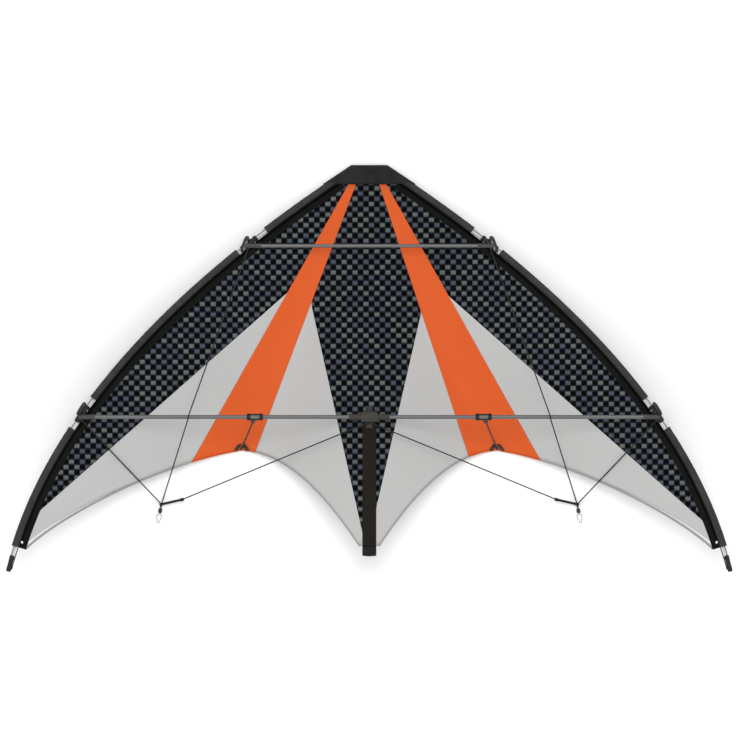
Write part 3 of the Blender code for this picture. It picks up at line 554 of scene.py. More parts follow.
class Value:
    """A number socket that can stand in a Python expression."""

    def __init__(self, tree: bpy.types.NodeTree, socket: bpy.types.NodeSocket) -> None:
        """Wraps one output socket."""
        self.tree = tree
        self.socket = socket

    def math(self, operation: str, *others: Value | float, swap: bool = False) -> Value:
        """Adds a Math node.

        Args:
            operation: the node's operation.
            others: its further inputs.
            swap: puts this value second instead of first.

        Returns:
            The node's result.
        """
        node = self.tree.nodes.new("ShaderNodeMath")
        node.operation = operation
        inputs = [self, *others]
        if swap:
            inputs = [others[0], self, *others[1:]]
        for socket, value in zip(node.inputs, inputs):
            if isinstance(value, Value):
                self.tree.links.new(value.socket, socket)
            else:
                socket.default_value = value
        return Value(self.tree, node.outputs[0])

    def __add__(self, other: Value | float) -> Value:
        """self + other."""
        return self.math("ADD", other)

    __radd__ = __add__

    def __mul__(self, other: Value | float) -> Value:
        """self * other."""
        return self.math("MULTIPLY", other)

    __rmul__ = __mul__

    def __sub__(self, other: Value | float) -> Value:
        """self - other."""
        return self.math("SUBTRACT", other)

    def __rsub__(self, other: float) -> Value:
        """other - self."""
        return self.math("SUBTRACT", other, swap=True)

    def __truediv__(self, other: Value | float) -> Value:
        """self / other."""
        return self.math("DIVIDE", other)

    def __pow__(self, other: float) -> Value:
        """self to a power."""
        return self.math("POWER", other)

    def clamped(self) -> Value:
        """Held between 0 and 1."""
        return self.math("MAXIMUM", 0.0).math("MINIMUM", 1.0)

    def wave(self, period: float) -> Value:
        """The cosine of this value over a period."""
        return (self * (TAU / period)).math("COSINE")


class Shader:
    """A material in the making: its nodes, and the surface shader that they feed."""

    def __init__(self, name: str, colour: tuple[float, float, float], **sockets: float) -> None:
        """Starts a material.

        Args:
            name: the material's name.
            colour: its base colour.
            sockets: fixed values of the surface shader, named in lower case with underscores.
        """
        self.material = bpy.data.materials.new(name)
        self.material.use_nodes = True
        self.tree = self.material.node_tree
        self.surface = self.tree.nodes["Principled BSDF"]
        self.surface.inputs["Base Color"].default_value = (*colour, 1)
        for key, value in sockets.items():
            name = key.replace("_", " ").title().replace("Ior", "IOR")
            self.surface.inputs[name].default_value = value

    def node(self, kind: str, settings: dict | None = None, **inputs: object) -> bpy.types.Node:
        """Adds a node.

        Args:
            kind: the node's type.
            settings: its own settings, put first.
            inputs: values or links of its sockets, by name with underscores or as in_0, in_1.

        Returns:
            The node.
        """
        node = self.tree.nodes.new(kind)
        for key, value in (settings or {}).items():
            setattr(node, key, value)
        for key, value in inputs.items():
            name = int(key[3:]) if key.startswith("in_") else key.replace("_", " ")
            socket = node.inputs[name]
            if isinstance(value, Value):
                self.tree.links.new(value.socket, socket)
            elif isinstance(value, bpy.types.NodeSocket):
                self.tree.links.new(value, socket)
            else:
                socket.default_value = value
        return node

    def value(self, node: bpy.types.Node, output: int | str = 0) -> Value:
        """A node's output as a Value."""
        return Value(self.tree, node.outputs[output])

    def uv(self) -> tuple[Value, Value]:
        """The piece's own pattern place, in metres."""
        split = self.node("ShaderNodeSeparateXYZ", in_0=self.coordinates("UV"))
        return self.value(split, 0), self.value(split, 1)

    def coordinates(self, kind: str) -> bpy.types.NodeSocket:
        """UV or Object coordinates."""
        return self.node("ShaderNodeTexCoord").outputs[kind]

    def noise(self, scale: float, detail: float = 3.0, kind: str = "Object") -> Value:
        """Noise from 0 to 1 over Object coordinates or the UV map."""
        node = self.node(
            "ShaderNodeTexNoise", in_0=self.coordinates(kind), Scale=scale, Detail=detail
        )
        return self.value(node)

    def mix(self, factor: Value | float, first: object, second: object) -> bpy.types.NodeSocket:
        """One colour going over into another.

        Args:
            factor: 0 for the first colour, 1 for the second.
            first: a colour triple or a socket.
            second: a colour triple or a socket.

        Returns:
            The mixed colour's socket.
        """
        node = self.node("ShaderNodeMix", {"data_type": "RGBA"})
        for socket, value in zip((node.inputs[0], *node.inputs[6:8]), (factor, first, second)):
            if isinstance(value, Value):
                self.tree.links.new(value.socket, socket)
            elif isinstance(value, bpy.types.NodeSocket):
                self.tree.links.new(value, socket)
            elif isinstance(value, tuple):
                socket.default_value = (*value, 1)
            else:
                socket.default_value = value
        return node.outputs[2]

    def feed(self, name: str, value: object) -> None:
        """Links a value or colour to the surface shader."""
        socket = value.socket if isinstance(value, Value) else value
        self.tree.links.new(socket, self.surface.inputs[name])

    def bump(self, height: Value, distance: float, strength: float = 1.0) -> None:
        """Raises the surface by height times distance, in metres."""
        node = self.node(
            "ShaderNodeBump", Height=height, Distance=distance, Strength=strength
        )
        self.feed("Normal", node.outputs[0])


def grey(level: float) -> tuple[float, float, float]:
    """A neutral colour."""
    return (level, level, level)


# Finishes


@dataclass(frozen=True)
class SailCloth:
    """Light ripstop: a fine weave with a raised grid of thicker threads."""

    name: str
    colour: tuple[float, float, float]
    shade: tuple[float, float, float]
    ripstop: float = 0.0050
    thread: float = 0.0006

    def build(self) -> bpy.types.Material:
        """Makes the material."""
        shader = Shader(self.name, self.colour, roughness=0.55, specular_ior_level=0.2)
        u, v = shader.uv()
        grid = rip_grid(u, v, self.ripstop, self.thread)
        cloud = shader.noise(9.0)
        tone = shader.mix((cloud * 0.9 - 0.1).clamped(), self.colour, self.shade)
        lines = shader.mix(grid * 0.22, tone, tuple(c * 0.72 for c in self.colour))
        shader.feed("Base Color", lines)
        shader.feed("Roughness", 0.5 + shader.noise(60.0) * 0.12)
        shader.bump(grid * 0.6 + cloud * 2.0, 0.00012)
        return shader.material


def rip_grid(u: Value, v: Value, pitch: float, width: float) -> Value:
    """A grid of lines: 1 on a line, 0 between, from the cosine's peaks in both directions."""
    edge = math.cos(math.pi * width / pitch)
    lines_u = (u.wave(pitch) - edge) * (1 / (1 - edge))
    lines_v = (v.wave(pitch) - edge) * (1 / (1 - edge))
    return lines_u.clamped().math("MAXIMUM", lines_v.clamped())


@dataclass(frozen=True)
class CheckPrint:
    """Printed black check: pale pads and near-black blobs in turn, on a dark ground."""

    name: str = "check_print"
    cell: tuple[float, float] = (0.01087, 0.01048)
    middle: tuple[float, float] = (0.0043, 0.0778)
    pad: tuple[float, float] = (0.88, 0.70)
    blob: tuple[float, float] = (0.92, 0.80)
    pale: tuple[float, float, float] = (0.118, 0.132, 0.130)
    cool: tuple[float, float, float] = (0.078, 0.084, 0.118)
    ground: tuple[float, float, float] = (0.0105, 0.0135, 0.0145)
    dark: tuple[float, float, float] = (0.0002, 0.0006, 0.0014)

    def build(self) -> bpy.types.Material:
        """Makes the material.

        Formula: each place belongs to a numbered cell; in the even cells a soft-edged pad is
        laid on the ground, in the odd ones a dark blob.
        """
        shader = Shader(self.name, self.ground, roughness=0.6, specular_ior_level=0.04)
        u, v = shader.uv()
        across = (u - self.middle[0]) * (1 / self.cell[0]) + 0.5
        down = (v - self.middle[1]) * (1 / self.cell[1]) + 0.5
        column, row = across.math("FLOOR"), down.math("FLOOR")
        x, y = across - column - 0.5, down - row - 0.5
        odd = ((column + row) * 0.5).math("FRACT") * 2.0
        pad = self.box(x, y, self.pad) * (1.0 - odd)
        blob = self.box(x, y, self.blob) * odd
        spot = shader.node("ShaderNodeCombineXYZ", in_0=column, in_1=row, in_2=0.5)
        chance = shader.value(shader.node("ShaderNodeTexWhiteNoise", in_0=spot.outputs[0]))
        pale = shader.mix(((chance - 0.35) * 4.0).clamped(), self.cool, self.pale)
        lit = pad * (0.86 - y * 0.35) * (0.80 + chance * 0.25)
        lit = lit * (0.85 + shader.noise(260.0) * 0.3)
        tone = shader.mix(lit.clamped(), self.ground, pale)
        shader.feed("Base Color", shader.mix(blob, tone, self.dark))
        grid = rip_grid(u, v, 0.0050, 0.0006)
        shader.feed("Roughness", 0.54 + shader.noise(60.0) * 0.12)
        shader.bump(grid * 0.5 + shader.noise(9.0) * 2.0, 0.00012)
        return shader.material

    @staticmethod
    def box(x: Value, y: Value, size: tuple[float, float]) -> Value:
        """1 inside a box of this share of a cell, falling softly to 0 across its border."""
        wide = ((size[0] - x.math("ABSOLUTE") * 2.0) * 3.2 + 0.5).clamped()
        tall = ((size[1] - y.math("ABSOLUTE") * 2.0) * 3.2 + 0.5).clamped()
        return wide * tall


@dataclass(frozen=True)
class WovenTape:
    """Dark woven cloth or tape: rows of threads over and under, their tops paler in random patches.
    """

    name: str
    colour: tuple[float, float, float]
    pale_tone: tuple[float, float, float]
    pitch: float = 0.0012
    depth: float = 0.00018
    roughness: float = 0.6

    def build(self) -> bpy.types.Material:
        """Makes the material."""
        shader = Shader(self.name, self.colour, roughness=self.roughness, specular_ior_level=0.1)
        u, v = shader.uv()
        weave = u.wave(self.pitch) * v.wave(self.pitch)
        cloud = shader.noise(35.0)
        # paler thread tops in random patches of noise
        pale_patch_mask = (cloud * 1.6 - 0.5).clamped()
        shader.feed("Base Color", shader.mix(pale_patch_mask * (0.5 + weave * 0.5), self.colour, self.pale_tone))
        shader.feed("Roughness", self.roughness - 0.1 + cloud * 0.2)
        shader.bump(weave + shader.noise(160.0) * 0.6, self.depth)
        return shader.material


@dataclass(frozen=True)
class SleeveCloth:
    """The sleeve's dark cloth: painted highlight on the fold, painted shade in the crease, sewn
    along the band.
    """

    name: str = "sleeve_cloth_look"
    # crease is painted shade between fold and band, fold is painted highlight on the crown, band is
    # the band's own tone
    crease: float = 0.0010
    fold: float = 0.036
    band: float = 0.0058

    def build(self) -> bpy.types.Material:
        """Makes the material.

        Formula: the tone falls evenly from the fold's crown to the crease 8 mm in from the rod,
        and rises again on the flat band, which has two rows of stitches. The paler crown is painted
        highlight and the near-black crease is painted shade.
        """
        shader = Shader(self.name, grey(self.fold), roughness=0.7, specular_ior_level=0.04)
        u, v = shader.uv()
        # painted highlight: paler on the fold's crown, down to the painted shade of the crease
        fold_highlight_mask = ((0.0080 - v) * (1 / 0.0062)).clamped() ** 1.4
        flat = ((v - 0.0112) * (1 / 0.0030)).clamped()
        cloud = shader.noise(45.0) * 0.7 + shader.noise(14.0) * 0.6 + 0.35
        # the sleeve's tone, with its painted highlight and painted shade
        level = (fold_highlight_mask * self.fold + flat * self.band + self.crease) * cloud
        shade = shader.node("ShaderNodeCombineXYZ", in_0=level, in_1=level, in_2=level * 0.95)
        stitch = (u.wave(0.0032) * 4.0).clamped() * self.rows(v)
        shader.feed("Base Color", shader.mix(stitch * 0.5, shade.outputs[0], grey(0.035)))
        shader.feed("Roughness", 0.6 + shader.noise(80.0) * 0.2)
        weave = u.wave(0.0010) * v.wave(0.0010)
        shader.bump(weave + shader.noise(160.0) * 0.6, 0.00010)
        return shader.material

    @staticmethod
    def rows(v: Value) -> Value:
        """1 on the two rows of stitches, 0 beside them."""
        first = (1.0 - ((v - 0.0135).math("ABSOLUTE") * 2500.0)).clamped()
        second = (1.0 - ((v - 0.0205).math("ABSOLUTE") * 2500.0)).clamped()
        return first.math("MAXIMUM", second)


@dataclass(frozen=True)
class FibreRod:
    """Pultruded rod: long fibres in a clear resin, with fine scratches along them, and where asked
    painted shade on one half of its round.
    """

    name: str
    colour: tuple[float, float, float]
    streak: tuple[float, float, float]
    roughness: float = 0.42
    metallic: float = 0.0
    # painted shade: the length of the rod's round over which one half is darkened; 0 leaves it off
    painted_shade_period: float = 0.0

    def build(self) -> bpy.types.Material:
        """Makes the material."""
        shader = Shader(self.name, self.colour, metallic=self.metallic, specular_ior_level=0.3)
        u, v = shader.uv()
        place = shader.node("ShaderNodeCombineXYZ", in_0=u * 12.0, in_1=v * 900.0, in_2=0.0)
        node = shader.node("ShaderNodeTexNoise", in_0=place.outputs[0], Scale=1.0, Detail=4.0)
        fibre = shader.value(node)
        tone = (fibre * 1.8 - 0.4).clamped()
        fibres = shader.mix(tone, self.colour, self.streak)
        # painted shade: about half of the rod's round darkened to 0.42 of its colour, as its side in
        # shade
        if self.painted_shade_period:
            painted_side_shade = (0.5 + v.wave(self.painted_shade_period) * 3.0).clamped()
            fibres = shader.mix(painted_side_shade, fibres, tuple(c * 0.42 for c in self.colour))
        shader.feed("Base Color", fibres)
        shader.feed("Roughness", self.roughness + fibre * 0.12)
        shader.bump(fibre, 0.00006)
        return shader.material


@dataclass(frozen=True)
class Moulded:
    """Moulded vinyl: a faint grain, with paler rubbed places."""

    name: str
    colour: tuple[float, float, float]
    rubbed: tuple[float, float, float]
    roughness: float = 0.5
    gloss: float = 0.25

    def build(self) -> bpy.types.Material:
        """Makes the material."""
        shader = Shader(
            self.name, self.colour, roughness=self.roughness, specular_ior_level=self.gloss
        )
        grain = shader.noise(900.0, 2.0)
        rub = (shader.noise(120.0) * 2.2 - 0.9).clamped()
        shader.feed("Base Color", shader.mix(rub, self.colour, self.rubbed))
        shader.feed("Roughness", self.roughness - 0.06 + rub * 0.16)
        shader.bump(grain, 0.00008)
        return shader.material


@dataclass(frozen=True)
class BraidedLine:
    """Braided line: strands that cross over each other round the cord."""

    name: str
    colour: tuple[float, float, float]
    strand: tuple[float, float, float]
    pitch: float = 0.0030

    def build(self) -> bpy.types.Material:
        """Makes the material."""
        shader = Shader(self.name, self.colour, roughness=0.7, specular_ior_level=0.25)
        u, v = shader.uv()
        weave = (u + v * 1.2).wave(self.pitch) * (u - v * 1.2).wave(self.pitch)
        tone = (weave * 0.5 + 0.5) * (0.6 + shader.noise(300.0) * 0.6)
        shader.feed("Base Color", shader.mix(tone.clamped(), self.colour, self.strand))
        shader.bump(weave, 0.00012)
        return shader.material


@dataclass(frozen=True)
class BrightSteel:
    """Drawn steel: bright, with fine scratches and dull patches."""

    name: str = "bright_steel"
    colour: tuple[float, float, float] = (0.62, 0.63, 0.64)

    def build(self) -> bpy.types.Material:
        """Makes the material."""
        shader = Shader(self.name, self.colour, metallic=1.0, roughness=0.22)
        dull = shader.noise(400.0)
        shader.feed("Base Color", shader.mix(dull, self.colour, (0.40, 0.40, 0.41)))
        shader.feed("Roughness", 0.14 + dull * 0.22)
        shader.bump(shader.noise(1500.0, 2.0), 0.00003)
        return shader.material


class Finish(Enum):
    """Every finish on the kite, with the record's material slot that it belongs to."""

    CHECK = ("carbon_cloth", CheckPrint())
    GREY = ("grey_cloth", SailCloth("grey_cloth_look", (0.450, 0.450, 0.444), grey(0.415)))
    ORANGE = (
        "orange_cloth",
        SailCloth("orange_cloth_look", (0.62, 0.092, 0.0135), (0.575, 0.083, 0.0125)),
    )
    # the grey hem: a darker copy of the grey cloth, painted shade along the fold
    HEM = ("grey_cloth", SailCloth("grey_hem_look", grey(0.27), grey(0.24)))
    ORANGE_HEM = (
        "orange_cloth",
        SailCloth("orange_hem_look", (0.61, 0.090, 0.0132), (0.56, 0.081, 0.0123)),
    )
    SLEEVE = ("sleeve_cloth", SleeveCloth())
    NOSE = ("webbing", WovenTape("webbing_look", grey(0.012), grey(0.045), 0.0022, 0.00035, 0.62))
    KEEL = (
        "keel_tape",
        WovenTape("keel_tape_look", (0.011, 0.0085, 0.006), (0.020, 0.016, 0.012), 0.0018, 0.00025),
    )
    THREAD = ("sleeve_cloth", Moulded("thread_look", grey(0.02), grey(0.05), 0.6))
    PALE_THREAD = ("grey_cloth", Moulded("pale_thread_look", grey(0.30), grey(0.42), 0.6))
    # pale rod: its last number gives it painted shade on one half of its round
    PALE_ROD = ("edge_rod", FibreRod("pale_rod_look", grey(0.50), grey(0.58), 0.4, 0.0, 0.022))
    SPREADER = ("spreader_rod", FibreRod("spreader_look", grey(0.10), grey(0.14), 0.45, 0.30))
    DARK_ROD = ("spreader_rod", FibreRod("dark_rod_look", grey(0.006), grey(0.014), 0.5))
    VINYL = ("vinyl", Moulded("vinyl_look", grey(0.006), grey(0.016)))
    # the socket: a paler copy of the connector's black vinyl, painted highlight
    SOCKET = ("vinyl", Moulded("socket_look", grey(0.050), grey(0.070), 0.6, 0.15))
    # the upper lug's paler pad: painted highlight
    PAD = ("vinyl", Moulded("pad_look", grey(0.13), grey(0.17), 0.6, 0.15))
    CENTRE_VINYL = (
        "centre_vinyl",
        Moulded("centre_vinyl_look", (0.036, 0.033, 0.030), (0.055, 0.050, 0.046), 0.65, 0.12),
    )
    LINE = ("bridle_line", BraidedLine("line_look", (0.006, 0.0065, 0.006), grey(0.030)))
    STEEL = ("steel", BrightSteel())
    BLACK_STEEL = ("steel", Moulded("black_steel_look", grey(0.010), grey(0.05), 0.3))


@dataclass
class Workshop:
    """Makes pieces, dresses them and puts them on their bodies."""

    frame: KiteFrame
    materials: dict[Finish, bpy.types.Material] = field(default_factory=dict)

    def material(self, finish: Finish) -> bpy.types.Material:
        """The material of a finish, built once."""
        if finish not in self.materials:
            self.materials[finish] = finish.value[1].build()
        return self.materials[finish]

    def piece(
        self,
        name: str,
        surface: Surface,
        finish: Finish,
        body: str = "kite",
        replaces: Sequence[str] = (),
        thickness: float = 0.0,
        sharp: float = 38.0,
    ) -> bpy.types.Object:
        """Makes one finished piece.

        Args:
            name: the piece's name.
            surface: its shape.
            finish: its finish.
            body: the body that it rides on.
            replaces: the CAD nodes that it stands for.
            thickness: for an open sheet, the cloth's thickness.
            sharp: edges above this angle, in degrees, stay sharp.

        Returns:
            The piece.
        """
        obj = surface.mesh(name, self.frame, thickness > 0)
        obj.data.materials.append(self.material(finish))
        obj.data.shade_smooth()
        obj.data.set_sharp_from_angle(angle=math.radians(sharp))
        if thickness:
            solid = obj.modifiers.new("thickness", "SOLIDIFY")
            solid.thickness = thickness
            solid.offset = 0
        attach(obj, body)
        if replaces:
            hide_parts(*replaces)
        LOG.info("%s: %d faces on %s", name, len(obj.data.polygons), body)
        return obj


# Sail


def straight(start: Array, end: Array) -> Run:
    """The straight run between two places."""
    return lambda w: start + (end - start) * np.asarray(w)[..., None]


def part_of(curve: tuple, first: float, last: float) -> Run:
    """The run along part of a Bezier curve."""
    return lambda w: bezier(curve, first + (last - first) * np.asarray(w))


def joined(first: Run, second: Run, share: float) -> Run:
    """Two runs end to end, the first taking this share of the way."""

    def at(w: Array) -> Array:
        w = np.asarray(w)
        early = first(np.minimum(w / share, 1))
        late = second(np.maximum((w - share) / (1 - share), 0))
        return np.where((w < share)[..., None], early, late)

    return at


def coons(left: Run, right: Run, top: Run, bottom: Run, columns: int, rows: int) -> Array:
    """A Coons patch of places (x, s) inside four runs that meet at their corners.

    Formula: the blend of left and right, plus the blend of top and bottom, minus the bilinear
    blend of the four corners.

    Args:
        left: run down the left side.
        right: run down the right side.
        top: run across the top.
        bottom: run across the bottom.
        columns: cells across.
        rows: cells down.

    Returns:
        Places (rows + 1, columns + 1, 2).
    """
    u, v = np.meshgrid(np.linspace(0, 1, columns + 1), np.linspace(0, 1, rows + 1))
    a, b = u[..., None], v[..., None]
    ends = np.array([0.0, 1.0])
    (top_left, top_right), (foot_left, foot_right) = top(ends), bottom(ends)
    sides = left(v) * (1 - a) + right(v) * a
    rungs = top(u) * (1 - b) + bottom(u) * b
    upper = top_left * (1 - a) + top_right * a
    lower = foot_left * (1 - a) + foot_right * a
    return sides + rungs - (upper * (1 - b) + lower * b)


def trail_meets(curve: tuple, seam: tuple, rising: bool, shift: float = 0.0) -> float:
    """The t at which a trailing edge crosses a seam that is shifted across."""
    sign = 1 if rising else -1

    def past(t: Array) -> Array:
        x, s = np.moveaxis(bezier(curve, t), -1, 0)
        return sign * (x - seam_x(seam, s) - shift)

    return float(solve(past, 0.0, 1.0))


@dataclass
class SailPanel:
    """One panel of sailcloth, stretched on the sail's surface."""

    name: str
    finish: Finish
    places: Array
    half: Half
    lift: float
    nodes: tuple[str, ...]
    cloth: float = 0.0003

    def points(self) -> Array:
        """The panel's places (x, s, n): on the sail's surface, raised by its layer."""
        x, s = np.moveaxis(self.places, -1, 0)
        return np.stack([x * self.half.value, s, PLAN.height(x, s) + self.lift], axis=-1)

    def build(self, shop: Workshop) -> None:
        points = self.points()
        crossed = np.cross(points[1:, 1:] - points[:-1, :-1], points[1:, :-1] - points[:-1, 1:])
        area = float(np.linalg.norm(crossed, axis=-1).sum() / 2)
        spread = points.reshape(-1, 3) - points.reshape(-1, 3).mean(axis=0)
        main = np.linalg.svd(spread, full_matrices=False)[2][:2]
        width, length = (float(size) for size in np.ptp(spread @ main.T, axis=0) * 1.01)
        surface = Surface().grid(points, points[..., :2])
        obj = shop.piece(
            self.name, surface, self.finish, replaces=self.nodes, thickness=self.cloth
        )
        length = min(length, area / width / 0.31)
        LOG.info("%s: flat %.3f x %.3f m, %.4f m2", self.name, width, length, area)


@dataclass
class Sail:
    """All the panels of the sail, its hem and its seams."""

    lap: float = 0.004
    under_nose: float = 0.010
    under_sleeve: float = 0.006
    stripe_lift: float = 0.0006
    check_lift: float = 0.0003
    hem_width: float = 0.0038
    hem_thickness: float = 0.0011
    hem_bead: float = 0.0009

    def build(self, shop: Workshop) -> None:
        """Makes the whole sail."""
        self.centre(shop)
        for half in Half:
            self.inner(shop, half)
            self.stripe(shop, half)
            self.outer(shop, half)
            self.tip(shop, half)
            self.hem(shop, half)

    def centre(self, shop: Workshop) -> None:
        """The dark panel over the spine."""
        foot = PLAN.tail[1]
        u, v = np.meshgrid(np.linspace(-1, 1, 41), np.linspace(0, 1, 97))
        start = PLAN.cloth_start - self.under_nose
        s = start + (foot - start) * v
        reach = {}
        for half in Half:
            apex = seam_crossing(PLAN.stripe_inner(half), PLAN.centre_seam(half))
            seams = seam_x(PLAN.stripe_inner(half), s), seam_x(PLAN.centre_seam(half), s)
            reach[half] = np.where(s < apex, seams[0], seams[1])
        x = u * np.where(u < 0, reach[Half.LEFT], reach[Half.RIGHT])
        panel = SailPanel(
            "centre_sail_panel_cloth",
            Finish.CHECK,
            np.stack([x, s], axis=-1),
            Half.RIGHT,
            self.check_lift,
            ("centre_sail_panel",),
        )
        panel.build(shop)

    def inner(self, shop: Workshop, half: Half) -> None:
        """The light panel between the centre and the stripe."""
        stripe, centre = PLAN.stripe_inner(half), PLAN.centre_seam(half)
        apex = seam_crossing(stripe, centre)
        corner = trail_meets(PLAN.inner_trail, stripe, False, self.lap)
        tip = seam_place(centre, apex - self.lap)
        left = self.along_seam(centre, apex - self.lap, PLAN.tail[1], -self.lap)
        right = straight(tip + (self.lap, 0), bezier(PLAN.inner_trail, corner))
        top = straight(tip - (self.lap, 0), tip + (self.lap, 0))
        foot = straight(left(np.array(1.0)), np.asarray(PLAN.tail, float))
        bottom = joined(foot, part_of(PLAN.inner_trail, 1.0, corner), 2 / 28)
        places = coons(left, right, top, bottom, 28, 40)
        name = f"{half.label}_inner_sail_panel"
        SailPanel(f"{name}_cloth", Finish.GREY, places, half, 0.0, (name,)).build(shop)

    def stripe(self, shop: Workshop, half: Half) -> None:
        """The orange stripe from the nose to the stand-off's foot."""
        inner, outer = PLAN.stripe_inner(half), PLAN.stripe_outer(half)
        start = PLAN.cloth_start - self.under_nose
        inner_end = trail_meets(PLAN.inner_trail, inner, False)
        outer_end = trail_meets(PLAN.outer_trail, outer, True)
        left = straight(seam_place(inner, start), bezier(PLAN.inner_trail, inner_end))
        right = straight(seam_place(outer, start), bezier(PLAN.outer_trail, outer_end))
        top = straight(seam_place(inner, start), seam_place(outer, start))
        to_corner = part_of(PLAN.inner_trail, inner_end, 0.0)
        from_corner = part_of(PLAN.outer_trail, 0.0, outer_end)
        places = coons(left, right, top, joined(to_corner, from_corner, 0.5), 24, 72)
        name = f"{half.label}_stripe_panel"
        panel = SailPanel(
            f"{name}_cloth", Finish.ORANGE, places, half, self.stripe_lift, (name,)
        )
        panel.build(shop)

    def outer(self, shop: Workshop, half: Half) -> None:
        """The light panel between the stripe and the wing tip."""
        stripe, diagonal = PLAN.stripe_outer(half), PLAN.diagonal_seam(half)
        apex = seam_crossing(stripe, diagonal)
        corner = trail_meets(PLAN.outer_trail, stripe, True, -self.lap)
        tip = seam_place(stripe, apex, -self.lap)
        meet = self.diagonal_end(diagonal)
        last = PLAN.sleeve_end - 0.006
        left = straight(tip, bezier(PLAN.outer_trail, corner))
        right = self.along_edge(meet, last)
        top = straight(tip, self.edge_places(np.array([meet]))[0])
        ends = self.edge_places(np.array([last]))[0] - np.asarray(PLAN.outer_trail[3])
        trail = part_of(PLAN.outer_trail, corner, 1.0)
        places = coons(left, right, top, self.leaning(trail, ends), 48, 28)
        name = f"{half.label}_outer_sail_panel"
        SailPanel(f"{name}_cloth", Finish.GREY, places, half, 0.0, (name,)).build(shop)

    def tip(self, shop: Workshop, half: Half) -> None:
        """The dark panel along the leading edge."""
        stripe, diagonal = PLAN.stripe_outer(half), PLAN.diagonal_seam(half)
        apex = seam_crossing(stripe, diagonal)
        start = PLAN.cloth_start - self.under_nose
        top_end = float(solve(lambda t: self.edge_places(t)[..., 1] - start, 0.0, 0.3))
        meet = self.diagonal_end(diagonal)
        inner_top = seam_place(stripe, start, -self.lap)
        inner_foot = seam_place(stripe, apex, -self.lap)
        left = straight(inner_top, inner_foot)
        right = self.along_edge(top_end, meet)
        top = straight(inner_top, self.edge_places(np.array([top_end]))[0])
        bottom = straight(inner_foot, self.edge_places(np.array([meet]))[0])
        places = coons(left, right, top, bottom, 24, 72)
        name = f"{half.label}_tip_sail_panel"
        panel = SailPanel(
            f"{name}_cloth", Finish.CHECK, places, half, self.check_lift, (name,)
        )
        panel.build(shop)

    def edge_places(self, t: Array) -> Array:
        """Where the cloth ends under the sleeve's band."""
        return PLAN.cloth_edge(np.asarray(t, float), self.under_sleeve)

    @staticmethod
    def along_seam(seam: tuple, first: float, last: float, shift: float) -> Run:
        """The run down a seam from one s to another, shifted across it."""

        def at(w: Array) -> Array:
            s = first + (last - first) * np.asarray(w)
            return np.stack([seam_x(seam, s) + shift, s], axis=-1)

        return at

    def along_edge(self, first: float, last: float) -> Run:
        """The run of the cloth's edge under the sleeve."""
        return lambda w: self.edge_places(first + (last - first) * np.asarray(w))

    @staticmethod
    def leaning(run: Run, end_shift: Array) -> Run:
        """A run whose far end is shifted, the shift growing evenly on the way."""
        return lambda w: run(w) + end_shift * np.asarray(w)[..., None]

    def diagonal_end(self, diagonal: tuple) -> float:
        """The t at which the diagonal seam goes under the sleeve."""
        (x_top, s_top), (x_foot, s_foot) = diagonal
        slope = (s_foot - s_top) / (x_foot - x_top)

        def past(t: Array) -> Array:
            x, s = np.moveaxis(self.edge_places(t), -1, 0)
            return s - s_top - (x - x_top) * slope

        return float(solve(past, 0.5, PLAN.sleeve_end))

    def hem(self, shop: Workshop, half: Half) -> None:
        """The folded hem along the trailing edge: the stripe's own cloth, then the grey one,
        darkened as painted shade.
        """
        outer, inner = PLAN.outer_trail, PLAN.inner_trail
        last = trail_meets(outer, PLAN.stripe_outer(half), True)
        first = trail_meets(inner, PLAN.stripe_inner(half), False)
        grey_hem = Surface()
        grey_hem.grid(self.folded(part_of(outer, last, 1.0), 1))
        grey_hem.grid(self.folded(part_of(inner, first, 1.0), -1))
        stripe_hem = Surface()
        stripe_hem.grid(self.folded(part_of(outer, 0.02, last), 1))
        stripe_hem.grid(self.folded(part_of(inner, 0.02, first), -1))
        name = f"{half.label}_trailing_edge_hem"
        shop.piece(name, grey_hem.mirrored(half), Finish.HEM)
        shop.piece(f"{half.label}_stripe_hem", stripe_hem.mirrored(half), Finish.ORANGE_HEM)

    def folded(self, run: Run, inward: int) -> Array:
        """The hem along a run: a flat fold with a cord in its edge.

        Formula: an arc round the cord, closed by the fold's two flat faces, carried along.

        Args:
            run: the trailing edge, as places (x, s).
            inward: 1 or -1, the section's sign towards the sail.

        Returns:
            The grid of points.
        """
        flat = run(np.linspace(0, 1, 60))
        path = np.column_stack([flat, PLAN.height(flat[:, 0], flat[:, 1]) + self.check_lift])
        angle = np.linspace(math.pi - 2.3, math.pi + 2.3, 10)
        bead = np.column_stack([np.cos(angle), np.sin(angle)]) * self.hem_bead
        rise = self.hem_thickness / 2
        fold = [[self.hem_width, -rise], [self.hem_width, rise]]
        section = np.concatenate([bead, fold, bead[:1]]) * (inward, 1)
        return swept(path, section, (0, 0, 1))


# Leading edges


